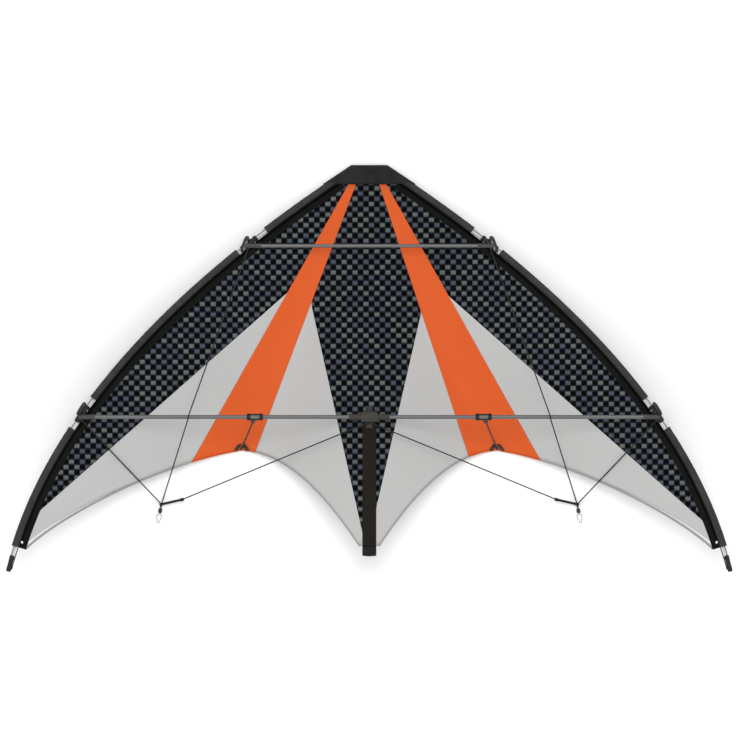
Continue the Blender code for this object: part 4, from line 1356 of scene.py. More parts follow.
@dataclass
class LeadingEdge:
    """One leading edge: the rod, its sleeve with two windows, and the wing tip."""

    half: Half
    rod: float = 0.0035
    fold: float = 0.0070
    cloth: float = 0.0007
    band_half: float = 0.0008
    band_start: float = 0.0105
    band_rise: float = 0.0004
    windows: tuple[tuple[float, float, float], ...] = (
        (PLAN.upper_joint, 0.0710, 0.0155),
        (PLAN.lower_joint, 0.0726, 0.0088),
    )

    def build(self, shop: Workshop) -> None:
        """Makes every piece of this edge."""
        self.edge_rod(shop)
        self.sleeve(shop)
        self.wing_tip(shop)

    def path(self, first: float, last: float, count: int) -> Array:
        """Places (x, s, 0) along the rod's middle."""
        flat = bezier(PLAN.edge, np.linspace(first, last, count))
        return np.column_stack([flat, np.zeros(count)])

    def edge_rod(self, shop: Workshop) -> None:
        """The pale rod from the nose to the wing tip."""
        surface = Surface().grid(tube(self.path(0.004, 0.9907, 120), self.rod, 20))
        name = f"{self.half.label}_leading_edge_rod"
        shop.piece(f"{name}_fibre", surface.mirrored(self.half), Finish.PALE_ROD, replaces=(name,))

    def section(self, outer: bool) -> Array:
        """The fold's flat section: u into the sail, w out of it.

        Formula: an arc about the rod, joined by two straight runs to the flat band; inside, the
        arc is one cloth thickness smaller and the runs meet where the band begins.

        Args:
            outer: the outside of the fold, or its inside.

        Returns:
            The section's points (count, 2).
        """
        mouth = math.radians(24)
        angle = np.linspace(mouth, TAU - mouth, 30)
        radius = self.fold if outer else self.fold - self.cloth
        arc = np.column_stack([radius * np.cos(angle), radius * np.sin(angle)])
        reach, rise, start = PLAN.sleeve_reach, self.band_half, self.band_start
        if outer:
            top = np.array([[reach, rise + self.band_rise], [start, rise + self.band_rise]])
            foot = np.array([[start, -rise], [reach, -rise], top[0]])
        else:
            throat = [start - 0.001, 0.0]
            top, foot = np.array([throat, throat]), np.array([throat, throat, throat])
        return np.concatenate([top, arc, foot])

    def leaned(self, t: Array, flat: Array, swell: Array | None = None) -> Array:
        """A flat section at each t, its band turned back to meet the sail.

        Formula: a turn by the lean; the band is drawn out so that it ends at the sleeve's reach,
        seen square to the kite, and the fold takes the swell's factor.

        Args:
            t: stations along the edge.
            flat: the section's points (count, 2).
            swell: one factor per station for the fold.

        Returns:
            Sections (stations, points, 2).
        """
        lean, start = PLAN.lean(t)[:, None], self.band_start
        drawn = (PLAN.sleeve_reach / np.cos(lean) - start) / (PLAN.sleeve_reach - start)
        along = np.where(flat[:, 0] > start, start + (flat[:, 0] - start) * drawn, flat[:, 0])
        across = np.broadcast_to(flat[:, 1], along.shape)
        if swell is not None:
            factor = np.where(flat[:, 0] < start, swell[:, None], 1.0)
            along, across = along * factor, across * factor
        u = along * np.cos(lean) + across * np.sin(lean)
        w = -along * np.sin(lean) + across * np.cos(lean)
        return np.stack([u, w], axis=-1)

    def carried(self, t: Array, section: Array) -> Array:
        """Sections (u, w) placed across the leading edge at each t."""
        inward = PLAN.edge_inward(t)[:, None]
        flat = bezier(PLAN.edge, t)[:, None] + section[..., :1] * inward
        return np.concatenate([flat, section[..., 1:]], axis=-1)

    def cuts(self) -> list[tuple[float, float]]:
        """The t at which each window starts and ends."""
        found = []
        for s, length, ahead in self.windows:
            middle = PLAN.edge_shift(float(PLAN.edge_at(np.array(s))), -ahead)
            ends = (PLAN.edge_shift(middle, -length / 2), PLAN.edge_shift(middle, length / 2))
            found.append(ends)
        return found

    def sleeve(self, shop: Workshop) -> None:
        """The cloth sleeve: tubes between the windows, the bare band beside them."""
        first = float(PLAN.edge_at(np.array(PLAN.cloth_start - 0.012)))
        cuts = self.cuts()
        starts = [first, *(end for _, end in cuts)]
        ends = [*(start for start, _ in cuts), PLAN.sleeve_end]
        surface = Surface()
        for start, end in zip(starts, ends):
            self.fold_tube(surface, start, end)
        for start, end in cuts:
            self.bare_band(surface, start, end)
        name = f"{self.half.label}_leading_edge_sleeve"
        shop.piece(f"{name}_cloth", surface.mirrored(self.half), Finish.SLEEVE, replaces=(name,))

    def fold_tube(self, surface: Surface, start: float, end: float) -> None:
        """One closed stretch of sleeve: outside, inside and both rims."""
        count = max(8, int((end - start) * 180))
        t = np.linspace(start, end, count)
        flat = self.section(True)
        outside = self.carried(t, self.leaned(t, flat, self.swell(t, start, end)))
        inside = self.carried(t, self.leaned(t, self.section(False)))[::-1]
        loop = np.concatenate([outside, inside, outside[:1]])
        along = self.lengths(t)
        u = np.concatenate([along, along[::-1], along[:1]])
        surface.grid(loop, np.stack(np.broadcast_arrays(u[:, None], flat[None, :, 0]), axis=-1))

    @staticmethod
    def lengths(t: Array) -> Array:
        """How far down the leading edge each station lies, in metres."""
        steps = np.linalg.norm(np.diff(bezier(PLAN.edge, t), axis=0), axis=-1)
        return t[0] + np.concatenate([[0], np.cumsum(steps)])

    def swell(self, t: Array, start: float, end: float) -> Array:
        """The sleeve's soft shape: a hemmed rim at each end and faint creases between.

        Formula: 1 + a bell at each end + two slow sines along the edge.
        """
        along = t * 1.085
        rim = np.exp(-(((t - start) * 1.085 / 0.004) ** 2))
        rim += np.exp(-(((end - t) * 1.085 / 0.004) ** 2))
        crease = 0.012 * np.sin(along * 210 + 1.3) + 0.010 * np.sin(along * 517)
        return 1 + 0.05 * rim + crease * (1 - rim)

    def bare_band(self, surface: Surface, start: float, end: float) -> None:
        """The flat band beside a window, where the fold is cut away."""
        t = np.linspace(start, end, 24)
        inner, reach, rise = 0.0070, PLAN.sleeve_reach, self.band_half
        top = rise + self.band_rise
        loop = [(inner, -rise), (reach, -rise), (reach, top), (inner, top), (inner, -rise)]
        flat = np.array(loop)
        band = self.carried(t, self.leaned(t, flat))
        closed = [np.repeat(band[i].mean(axis=0)[None], 5, axis=0)[None] for i in (0, -1)]
        along = self.lengths(t)
        u = np.concatenate([along[:1], along, along[-1:]])
        uv = np.stack(np.broadcast_arrays(u[:, None], flat[None, :, 0]), axis=-1)
        surface.grid(np.concatenate([closed[0], band, closed[1]]), uv)

    def wing_tip(self, shop: Workshop) -> None:
        """The nock on the rod's end, and the cord that pulls the sleeve towards it."""
        path = self.path(0.9735, 1.0, 12)
        profile = np.array([0.86, 1.0, 1.0, 0.92, 0.92, 0.92, 0.92, 0.92, 1.0, 1.0, 0.96, 0.8])
        closed = np.concatenate([path[:1], path, path[-1:]])
        sizes = np.concatenate([[0], profile, [0]])
        nock = swept(closed, ring(20) * 0.0050, (0, 0, 1), sizes)
        surface = Surface().grid(nock)
        name = f"{self.half.label}_wing_tip_nock"
        shop.piece(f"{name}_cap", surface.mirrored(self.half), Finish.VINYL, replaces=(name,))
        self.tension_cord(shop)

    def tension_cord(self, shop: Workshop) -> None:
        """The short doubled cord from the sleeve's rivet over the nock's end."""
        start = bezier(PLAN.edge, np.array([0.9491]))[0]
        inward = PLAN.edge_inward(np.array([0.9491]))[0]
        t = np.linspace(0.9531, 0.9961, 14)
        near = bezier(PLAN.edge, t) + PLAN.edge_inward(t) * np.linspace(0.0068, 0.0056, 14)[:, None]
        near = np.concatenate([[start + inward * 0.0100], near])
        surface = Surface()
        for lift in (0.0012, -0.0012):
            path = np.column_stack([near, np.full(len(near), lift)])
            surface.grid(tube(path, 0.0011, 10))
        shop.piece(f"{self.half.label}_tension_cord", surface.mirrored(self.half), Finish.LINE)
        centre = np.append(start + inward * 0.0105, 0.0)
        profile = [(0, 0.0019), (0.0012, 0.0018), (0.0026, 0.0013), (0.0031, 0.0004)]
        profile += [(r, -h) for r, h in profile[::-1]]
        rivet = Axes.along(centre, (0, 0, 1), (0, 1, 0))(turned(profile, 20))
        shop.piece(
            f"{self.half.label}_tip_rivet", Surface().grid(rivet).mirrored(self.half), Finish.STEEL
        )


# Fittings


@dataclass
class EdgeConnector:
    """A moulded connector: clamp, lug and socket, with a stopper ring beside it."""

    half: Half
    row: str
    s: float
    rod: float
    lug_size: tuple[float, float, float]
    lug_place: tuple[float, float, float]
    lug_lean: float
    clamp: float = 0.0062
    clamp_ahead: float = 0.0188
    clamp_behind: float = 0.012
    wall: float = 0.0008
    socket: float = 0.030
    lift: float = PLAN.rod_lift
    ring_ahead: float = 0.0234
    ring_half: float = 0.004
    ring_radius: float = 0.0065

    def build(self, shop: Workshop) -> None:
        """Makes the connector and its ring."""
        t = float(PLAN.edge_at(np.array(self.s)))
        x, s = bezier(PLAN.edge, np.array(t))
        surface = Surface()
        start, end = PLAN.edge_shift(t, -self.clamp_ahead), PLAN.edge_shift(t, self.clamp_behind)
        surface.grid(self.beads(start, end, self.clamp, (0.8, 1, 1, 0.9, 1, 1, 1, 0.8)))
        surface.grid(self.lug(x, s))
        name = f"{self.half.label}_{self.row}_edge_connector"
        mirrored = surface.mirrored(self.half)
        shop.piece(f"{name}_moulding", mirrored, Finish.VINYL, replaces=(name,))
        tube_surface = Surface().grid(self.socket_tube(x, s)).mirrored(self.half)
        # the socket in its paler vinyl, painted highlight
        shop.piece(f"{name}_socket", tube_surface, Finish.SOCKET)
        self.inset(shop, x, s)
        middle = PLAN.edge_shift(t, -self.ring_ahead)
        start, end = (PLAN.edge_shift(middle, side * self.ring_half) for side in (-1, 1))
        stopper = Surface().grid(self.beads(start, end, self.ring_radius, (0.8, 1, 0.86, 1, 0.8)))
        name = f"{self.half.label}_{self.row}_stopper_ring"
        mirrored = stopper.mirrored(self.half)
        shop.piece(f"{name}_moulding", mirrored, Finish.VINYL, replaces=(name,))

    @staticmethod
    def beads(first: float, last: float, radius: float, shape: tuple[float, ...]) -> Array:
        """A beaded sleeve on the rod: its radius follows the shape's factors."""
        fine = np.linspace(0, 1, 30)
        sizes = np.interp(fine, np.linspace(0, 1, len(shape)), shape)
        flat = bezier(PLAN.edge, first + (last - first) * fine)
        path = np.column_stack([flat, np.zeros(len(flat))])
        closed = np.concatenate([path[:1], path, path[-1:]])
        return swept(closed, ring(24) * radius, (0, 0, 1), np.concatenate([[0], sizes, [0]]))

    def socket_tube(self, x: float, s: float) -> Array:
        """The socket: a tube with a thicker lip, open towards the spreader."""
        bore, out = self.rod + 0.0003, self.rod + self.wall
        profile = [
            (0, 0.003),
            (out * 0.7, 0.003),
            (out, 0.001),
            (out, -self.socket + 0.006),
            (out + 0.0004, -self.socket + 0.005),
            (out + 0.0004, -self.socket + 0.001),
            (out, -self.socket),
            (bore, -self.socket),
            (bore, -0.003),
            (0, -0.003),
        ]
        place = Axes.along((x, s, self.lift), (1, 0, 0), (0, 0, 1))
        return place(turned(profile, 28))

    def lug_axes(self, x: float, s: float) -> Axes:
        """The lug's frame: its own Y runs down its length, turned with the leading edge."""
        lean = self.lug_lean
        across = np.array([math.cos(lean), -math.sin(lean), 0])
        down = np.array([math.sin(lean), math.cos(lean), 0])
        out, back, lift = self.lug_place
        return Axes(np.array([x + out, s - back, lift]), across, down, np.array([0, 0, 1.0]))

    def lug(self, x: float, s: float) -> Array:
        """The lug: a thick rounded tab."""
        length, width, thickness = self.lug_size
        outline = superellipse(width / 2, length / 2, 3.2)
        return self.lug_axes(x, s)(plate(outline, thickness, 0.0024))

    def inset(self, shop: Workshop, x: float, s: float) -> None:
        """A pad on the lug's face, on its inner half: paler on the upper connector as painted
        highlight, black on the lower one.
        """
        length, width, thickness = self.lug_size
        outline = superellipse(width * 0.22, length * 0.30, 2.6, 28)
        outline = outline + (-width * 0.16, length * 0.06)
        pad = self.lug_axes(x, s)(plate(outline, 0.0016, 0.0007) + (0, 0, thickness / 2))
        surface = Surface().grid(pad).mirrored(self.half)
        name = f"{self.half.label}_{self.row}_connector_pad"
        # the upper connector's paler pad is painted highlight
        shop.piece(name, surface, Finish.PAD if self.row == "upper" else Finish.VINYL)


@dataclass
class Spreaders:
    """The three rods that hold the leading edges apart."""

    lift: float = PLAN.rod_lift
    upper_rod: float = 0.0035
    lower_rod: float = 0.0040
    stations: tuple[float, float] = (PLAN.upper_joint, PLAN.lower_joint)

    def reach(self, s: float) -> float:
        """How far from the spine a spreader ends in its connector."""
        return float(bezier(PLAN.edge, PLAN.edge_at(np.array(s)))[0]) - 0.0033

    def build(self, shop: Workshop) -> None:
        """Makes the upper rod and the two lower ones."""
        upper, lower = self.stations
        end = self.reach(upper)
        path = line_between((-end, upper, self.lift), (end, upper, self.lift), 60)
        surface = Surface().grid(tube(path, self.upper_rod, 24))
        shop.piece("upper_spreader_rod", surface, Finish.SPREADER, replaces=("upper_spreader",))
        for half in Half:
            end = self.reach(lower)
            path = line_between((0.003, lower, self.lift), (end, lower, self.lift), 60)
            surface = Surface().grid(tube(path, self.lower_rod, 24)).mirrored(half)
            name = f"{half.label}_lower_spreader"
            shop.piece(f"{name}_rod", surface, Finish.SPREADER, replaces=(name,))


@dataclass
class Spine:
    """What lies along the middle: nose cover, rod, centre fitting, keel strip and tail."""

    depth: float = 0.0048
    rod: float = 0.0030
    start: float = 0.010
    end: float = 0.774
    centre: float = PLAN.lower_joint
    lift: float = PLAN.rod_lift
    nose_top: float = 0.036
    nose_foot: float = 0.0935
    nose_length: float = 0.0385
    keel_half: float = 0.0135
    keel_start: float = 0.5145

    def build(self, shop: Workshop) -> None:
        """Makes all of them."""
        path = line_between((0, self.start, -self.depth), (0, self.end, -self.depth), 80)
        surface = Surface().grid(tube(path, self.rod, 20))
        shop.piece("spine_rod_fibre", surface, Finish.DARK_ROD, replaces=("spine_rod",))
        self.nose(shop)
        self.fitting(shop)
        self.keel(shop)
        self.tail(shop)

    def nose(self, shop: Workshop) -> None:
        """The folded webbing over the nose: a thick envelope, fuller over the rods.

        Formula: half thickness = 9 mm times a power of the distance to each edge, so the faces
        are nearly flat and the edges round over; width grows evenly from top to foot.
        """
        u, v = np.meshgrid(np.linspace(-1, 1, 61), np.linspace(0, 1, 25))
        width = self.nose_top + (self.nose_foot - self.nose_top) * v
        side = 1 - np.abs(u) ** 14
        end = 1 - np.abs(2 * v - 1) ** 10
        swell = 0.86 + 0.14 * np.exp(-(((np.abs(u) - 0.62) / 0.22) ** 2))
        half = PLAN.nose_half_thick * np.clip(side * end, 0, 1) ** 0.5 * swell
        half = np.maximum(half, 0.0)
        x, s = u * width, v * self.nose_length
        surface = Surface()
        surface.grid(np.stack([x, s, half], axis=-1), np.stack([x, s], axis=-1))
        surface.grid(np.stack([x, s, -half], axis=-1), np.stack([x, s], axis=-1))
        shop.piece("nose_cover_webbing", surface, Finish.NOSE, replaces=("nose_cover",))

    def fitting(self, shop: Workshop) -> None:
        """The moulded cross: collar and tube in front, neck, and a barrel on the spine."""
        surface = Surface()
        out, bore, half = 0.0062, 0.0043, 0.040
        tube_profile = [
            (bore, -half),
            (out + 0.0005, -half),
            (out + 0.0005, -half + 0.003),
            (out, -half + 0.004),
            (out, half - 0.004),
            (out + 0.0005, half - 0.003),
            (out + 0.0005, half),
            (bore, half),
            (bore, -half),
        ]
        place = Axes.along((0, self.centre, self.lift), (1, 0, 0), (0, 0, 1))
        surface.grid(place(turned(tube_profile, 28)))
        outline = superellipse(0.017, 0.01025, 7)
        flat = Axes(np.array([0, self.centre, self.lift]), *np.eye(3))
        surface.grid(flat(plate(outline, 0.0135, 0.0025)))
        neck = Axes(np.array([0, self.centre, 0.002]), *np.eye(3))
        surface.grid(neck(plate(superellipse(0.007, 0.0097, 6), 0.015, 0.001)))
        barrel = [(0, -0.022), (0.0066, -0.022), (0.0075, -0.020), (0.0075, 0.020), (0.0066, 0.022)]
        place = Axes.along((0, self.centre, -self.depth), (0, 1, 0), (0, 0, 1))
        surface.grid(place(turned([*barrel, (0, 0.022)], 28)))
        shop.piece(
            "centre_fitting_moulding", surface, Finish.CENTRE_VINYL, replaces=("centre_fitting",)
        )

    def keel(self, shop: Workshop) -> None:
        """The strip down the middle of the face, over the spine's foot."""
        u, v = np.meshgrid(np.linspace(-1, 1, 13), np.linspace(0, 1, 90))
        s = self.keel_start + (PLAN.tail[1] + 0.002 - self.keel_start) * v
        x = u * self.keel_half
        n = PLAN.height(x, s) + 0.0016
        surface = Surface().grid(np.stack([x, s, n], axis=-1), np.stack([x, s], axis=-1))
        shop.piece(
            "keel_strip_tape", surface, Finish.KEEL, replaces=("keel_strip",), thickness=0.0012
        )

    def tail(self, shop: Workshop) -> None:
        """The folded pocket at the spine's foot."""
        u, v = np.meshgrid(np.linspace(0, TAU, 49), np.linspace(0, 1, 14))
        half_x, back, front = 0.0140, 0.0105, 0.0035
        middle, half_n = (front - back) / 2, (front + back) / 2
        power = 2 / 5
        x = half_x * np.sign(np.cos(u)) * np.abs(np.cos(u)) ** power
        n = middle + half_n * np.sign(np.sin(u)) * np.abs(np.sin(u)) ** power
        s = 0.760 + 0.020 * v
        shrink = np.clip(1 - (np.abs(2 * v - 1)) ** 16, 0, 1) ** 0.5
        points = np.stack([x * shrink, s, middle + (n - middle) * shrink], axis=-1)
        surface = Surface().grid(points)
        shop.piece("tail_pocket_webbing", surface, Finish.NOSE, replaces=("tail_pocket",))


# Stand-offs


@dataclass
class StandOff:
    """A stand-off: saddle, thin rod and cap, and the notched foot that the cap sits in."""

    half: Half
    pivot: tuple[float, float, float] = (0.2278, PLAN.lower_joint, PLAN.rod_lift)
    tip: tuple[float, float] = (0.2556, 0.5670)
    tip_height: float = 0.0045
    spreader: float = 0.0040
    saddle: float = 0.0072
    saddle_half: float = 0.016
    holder: float = 0.0042
    holder_end: float = 0.026
    rod: float = 0.0015
    cap: float = 0.0024
    foot_s: float = 0.5609
    foot_height: float = 0.0095

    def build(self, shop: Workshop) -> None:
        """Makes the moving saddle and rod, and the fixed foot."""
        tilt = shop.frame.tilt
        x, s = self.tip
        n = PLAN.floor(s, tilt) + self.tip_height / math.cos(tilt)
        start, end = np.array(self.pivot), np.array([x, s, n])
        away = unit(end - start)
        body = f"{self.half.label}_stand_off"
        self.make_saddle(shop, start, away, body)
        self.make_rod(shop, start, end, away, body)
        self.make_foot(shop)

    def make_saddle(self, shop: Workshop, start: Array, away: Array, body: str) -> None:
        """The saddle: two collars on the spreader, a back that joins them, and a holder."""
        surface = Surface()
        half, out, bore = self.saddle_half, self.saddle, self.spreader + 0.0003
        collar = [
            (bore, 0.0),
            (out * 0.88, 0.0),
            (out, 0.0012),
            (out, 0.0058),
            (out * 0.88, 0.0070),
            (bore, 0.0070),
            (bore, 0.0),
        ]
        for first in (-half, half - 0.0070):
            place = Axes.along(start + (first, 0, 0), (1, 0, 0), (0, 0, 1))
            surface.grid(place(turned(collar, 28)))
        angle = np.radians(np.linspace(-158, -22, 14))
        circle = np.column_stack([np.cos(angle), np.sin(angle)])
        loop = np.concatenate([circle * out * 0.96, circle[::-1] * bore])
        loop = np.concatenate([loop, loop[:1]])
        path = line_between((-half + 0.004, 0, 0), (half - 0.004, 0, 0), 6) + start
        path = np.concatenate([path[:1], path, path[-1:]])
        sizes = np.ones(len(path))
        back = swept(path, loop, (0, 0, 1), sizes)
        back[[0, -1]] = back[[0, -1]].mean(axis=1, keepdims=True)
        surface.grid(back)
        hold = [(0, 0.003), (self.holder, 0.003), (self.holder, self.holder_end - 0.002)]
        hold += [(self.holder * 0.85, self.holder_end), (self.rod, self.holder_end)]
        hold += [(self.rod, 0.008), (0, 0.008)]
        surface.grid(Axes.along(start, away, (1, 0, 0))(turned(hold, 20)))
        name = f"{self.half.label}_stand_off_saddle"
        mirrored = surface.mirrored(self.half)
        shop.piece(f"{name}_moulding", mirrored, Finish.VINYL, body=body, replaces=(name,))

    def make_rod(
        self, shop: Workshop, start: Array, end: Array, away: Array, body: str
    ) -> None:
        """The thin rod, and the round cap on its tip."""
        length = float(np.linalg.norm(end - start))
        cap, rod = self.cap, self.rod
        profile = [
            (0, length),
            (cap * 0.6, length),
            (cap, length - 0.0012),
            (cap, length - 0.013),
            (rod, length - 0.014),
            *((rod, length - 0.014 - (length - 0.024) * k / 12) for k in range(1, 13)),
            (0, 0.010),
        ]
        surface = Surface().grid(Axes.along(start, away, (1, 0, 0))(turned(profile, 16)))
        name = f"{self.half.label}_stand_off_rod"
        mirrored = surface.mirrored(self.half)
        shop.piece(f"{name}_fibre", mirrored, Finish.DARK_ROD, body=body, replaces=(name,))

    def make_foot(self, shop: Workshop) -> None:
        """The wedge on the trailing edge: two legs that meet at a rounded apex.

        Formula: each leg is a rounded bar from the apex to the base, level with the floor.
        """
        tilt = shop.frame.tilt
        across, height = np.array([1.0, 0, 0]), self.foot_height
        ahead = np.array([0, -math.cos(tilt), -math.sin(tilt)])
        up = np.array([0, -math.sin(tilt), math.cos(tilt)])
        n = PLAN.floor(self.foot_s, tilt)
        origin = np.array([PLAN.corner[0], self.foot_s, n]) + up * height / 2
        axes = Axes(origin, across, ahead, up)
        surface = Surface()
        corners = [(-0.0016, 0.0098), (0.0030, 0.0092), (0.0158, -0.0104), (0.0086, -0.0105)]
        leg = np.array([*corners, (-0.0010, 0.0042)])
        for side in (-1, 1):
            outline = self.softened(leg * (side, 1))
            surface.grid(axes(plate(outline, height, 0.0012)))
        name = f"{self.half.label}_trailing_edge_foot"
        mirrored = surface.mirrored(self.half)
        shop.piece(f"{name}_moulding", mirrored, Finish.VINYL, replaces=(name,))

    @staticmethod
    def softened(corners: Array) -> Array:
        """A closed outline through the corners, its corners cut twice to round them."""
        points = corners
        for _ in range(2):
            following = np.roll(points, -1, axis=0)
            pair = [points * 0.82 + following * 0.18, points * 0.18 + following * 0.82]
            points = np.stack(pair, axis=1).reshape(-1, 2)
        return np.concatenate([points, points[:1]])


# Bridle


@dataclass
class Bridle:
    """The lines of one half, with their knots, and the swivel and clip at the tow point."""

    half: Half
    line: float = 0.0012
    tow: tuple[float, float] = (0.4149, 0.6763)
    tow_height: float = 0.0072
    splay: float = math.radians(10.5)
    upper_s: float = PLAN.upper_joint
    lower_s: float = PLAN.lower_joint
    lift: float = PLAN.rod_lift
    upper_rod: float = 0.0035
    lower_rod: float = 0.0040
    wall: float = 0.0012
    crossing: float = 0.361
    share: float = 0.90
    sag: float = 0.007
    knot: float = 0.0036

    def tow_place(self, tilt: float) -> Array:
        """The tow point (x, s, n)."""
        x, s = self.tow
        return np.array([x, s, PLAN.floor(s, tilt) + self.tow_height / math.cos(tilt)])

    def away(self, tilt: float) -> Array:
        """The way that the clip points: level with the floor, splayed outwards."""
        level = math.cos(self.splay)
        return np.array([math.sin(self.splay), level * math.cos(tilt), -level * math.sin(tilt)])

    def build(self, shop: Workshop) -> None:
        """Makes the three legs, the doubled line, the swivel and the clip."""
        tilt = shop.frame.tilt
        tow = self.tow_place(tilt)
        self.upper_leg(shop, tow)
        self.lower_leg(shop, tow)
        self.inner_leg(shop, tow)
        self.swivel(shop, tow, self.away(tilt))
        self.clip(shop, tow, self.away(tilt))

    def strand(self, path: Array, radius: float) -> Array:
        """A twisted line: a round section with three shallow lobes that turn on the way.

        Formula: r * (1 + 0.13 cos(3 (a + 2 pi length / pitch))).
        """
        steps = np.linalg.norm(np.diff(path, axis=0), axis=1)
        length = np.concatenate([[0], np.cumsum(steps)])
        count = int(length[-1] / 0.0012)
        even = np.linspace(0, length[-1], count)
        fine = np.column_stack([np.interp(even, length, path[:, k]) for k in range(3)])
        angle = np.linspace(0, TAU, 13)
        wave = 1 + 0.13 * np.cos(3 * (angle[None] + TAU * even[:, None] / 0.009))
        section = np.stack([np.cos(angle) * wave, np.sin(angle) * wave], axis=-1) * radius
        sizes = np.ones(count)
        sizes[[0, -1]] = 0
        return swept(fine, section, (0, 0, 1), sizes)

    def knot_at(self, place: Array, direction: Array, radius: float) -> Array:
        """A small barrel knot: three turns side by side along the line.

        Formula: the barrel's radius follows |cos| of the way along, over three half waves.
        """
        h = np.linspace(-1, 1, 25)
        bulge = 0.78 + 0.22 * np.abs(np.cos(h * math.pi * 1.5))
        r = radius * bulge * np.sqrt(np.clip(1 - np.abs(h) ** 6, 0, 1))
        profile = np.column_stack([r, h * radius * 1.25])
        return Axes.along(place, direction, (0, 0, 1))(turned(profile, 18))

    def start_of(self, row_s: float, rod: float) -> Array:
        """Where a leg leaves its connector."""
        x, s = bezier(PLAN.edge, PLAN.edge_at(np.array(row_s)))
        drop = rod + self.wall + self.line + 0.0003
        return np.array([x - 0.004, s + drop, self.lift])

    def leg(self, shop: Workshop, row: str, path: Array) -> None:
        """One leg, with a small knot at its start."""
        surface = Surface().grid(self.strand(path, self.line))
        surface.grid(self.knot_at(path[0], path[1] - path[0], self.line * 2.1))
        name = f"{self.half.label}_{row}_bridle_leg"
        shop.piece(f"{name}_line", surface.mirrored(self.half), Finish.LINE, replaces=(name,))

    def upper_leg(self, shop: Workshop, tow: Array) -> None:
        """From the upper connector over the lower spreader to the tow point."""
        start = self.start_of(self.upper_s, self.upper_rod)
        rod = np.array([self.crossing, self.lower_s, self.lift])
        angle = np.radians(np.linspace(0, 44.4, 6))
        radius = self.lower_rod + self.line + 0.0003
        wrap = rod + np.stack(
            [np.zeros(6), radius * np.sin(angle), radius * np.cos(angle)], axis=-1
        )
        self.leg(shop, "upper", np.concatenate([[start], wrap, [tow]]))

    def lower_leg(self, shop: Workshop, tow: Array) -> None:
        """From the lower connector over the trailing edge to the tow point."""
        start = self.start_of(self.lower_s, self.lower_rod)

        def beyond(t: Array) -> Array:
            x, s = np.moveaxis(bezier(PLAN.outer_trail, t), -1, 0)
            share = (s - start[1]) / (tow[1] - start[1])
            return x - start[0] - (tow[0] - start[0]) * share

        crossing = bezier(PLAN.outer_trail, solve(beyond, 0.2, 0.8))
        n = float(PLAN.height(crossing[:1], crossing[1:])[0]) + 0.0024
        self.leg(shop, "lower", np.array([start, [*crossing, n], tow]))

    def inner_leg(self, shop: Workshop, tow: Array) -> None:
        """From the centre fitting to the adjusting knot, then doubled to the tow point."""
        start = np.array([0.004, self.lower_s + 0.01025 + self.line + 0.0003, self.lift])
        knot = start + (tow - start) * self.share + (0, self.sag, 0)
        self.leg(shop, "inner", np.array([start, knot]))
        surface = Surface()
        side = unit(np.cross(tow - knot, (0, 0, 1.0))) * self.line
        for sign in (-1, 1):
            surface.grid(self.strand(np.array([knot, tow]) + side * sign, self.line * 1.1))
        surface.grid(self.knot_at(knot, tow - knot, self.knot))
        surface.grid(self.knot_at(tow, tow - knot, self.knot * 0.9))
        away = self.away(shop.frame.tilt)
        surface.grid(self.strand(np.array([tow, tow + away * 0.0082]), 0.0019))
        name = f"{self.half.label}_tow_loop"
        shop.piece(f"{name}_line", surface.mirrored(self.half), Finish.LINE, replaces=(name,))

    def swivel(self, shop: Workshop, tow: Array, away: Array) -> None:
        """The barrel that the clip turns in."""
        start, length, radius = 0.0085, 0.0095, 0.0040
        profile = [
            (0, start),
            (radius * 0.55, start),
            (radius * 0.9, start + 0.0008),
            (radius, start + 0.0022),
            (radius * 0.86, start + 0.0040),
            (radius, start + 0.0058),
            (radius, start + length - 0.0020),
            (radius * 0.7, start + length),
            (0.0015, start + length),
            (0.0015, start + length - 0.007),
            (0, start + length - 0.007),
        ]
        surface = Surface().grid(Axes.along(tow, away, (0, 0, 1))(turned(profile, 24)))
        name = f"{self.half.label}_swivel"
        shop.piece(
            f"{name}_barrel", surface.mirrored(self.half), Finish.BLACK_STEEL, replaces=(name,)
        )

    def clip(self, shop: Workshop, tow: Array, away: Array) -> None:
        """The pear-shaped wire clip on its stem, with its spring gate."""
        big, small, apart, wire = 0.0051, 0.0017, 0.0118, 0.0009
        lean = math.asin((big - small) / apart)
        near = np.linspace(-lean, math.pi + lean, 22)
        far = np.linspace(math.pi + lean, TAU - lean, 12)
        first = np.column_stack([big * np.cos(near), big * np.sin(near)])
        second = np.column_stack([small * np.cos(far), -apart + small * np.sin(far)])
        outline = np.concatenate([first, second, first[:1]])
        origin = tow + away * 0.0192
        up = unit(np.cross(np.cross(away, (0, 0, 1.0)), away))
        axes = Axes(origin + away * 0.0060, np.cross(away, up), -away, up)
        closed = axes(np.column_stack([outline, np.zeros(len(outline))]))
        surface = Surface().grid(self.closed_wire(closed, wire, up))
        stem = line_between(origin + away * 0.0012, tow + away * 0.0112, 6)
        surface.grid(tube(stem, 0.0012, 14, 0.0003))
        name = f"{self.half.label}_line_clip"
        body = f"{self.half.label}_clip"
        mirrored = surface.mirrored(self.half)
        shop.piece(f"{name}_wire", mirrored, Finish.STEEL, body=body, replaces=(name,))

    @staticmethod
    def closed_wire(path: Array, radius: float, up: Array) -> Array:
        """A round wire that ends where it starts."""
        tangent = unit(np.roll(path[:-1], -1, axis=0) - np.roll(path[:-1], 1, axis=0))
        tangent = np.concatenate([tangent, tangent[:1]])
        side = np.cross(tangent, up)
        circle = ring(12) * radius
        return path[:, None] + circle[:, :1] * side[:, None] + circle[:, 1:] * up


# Stage


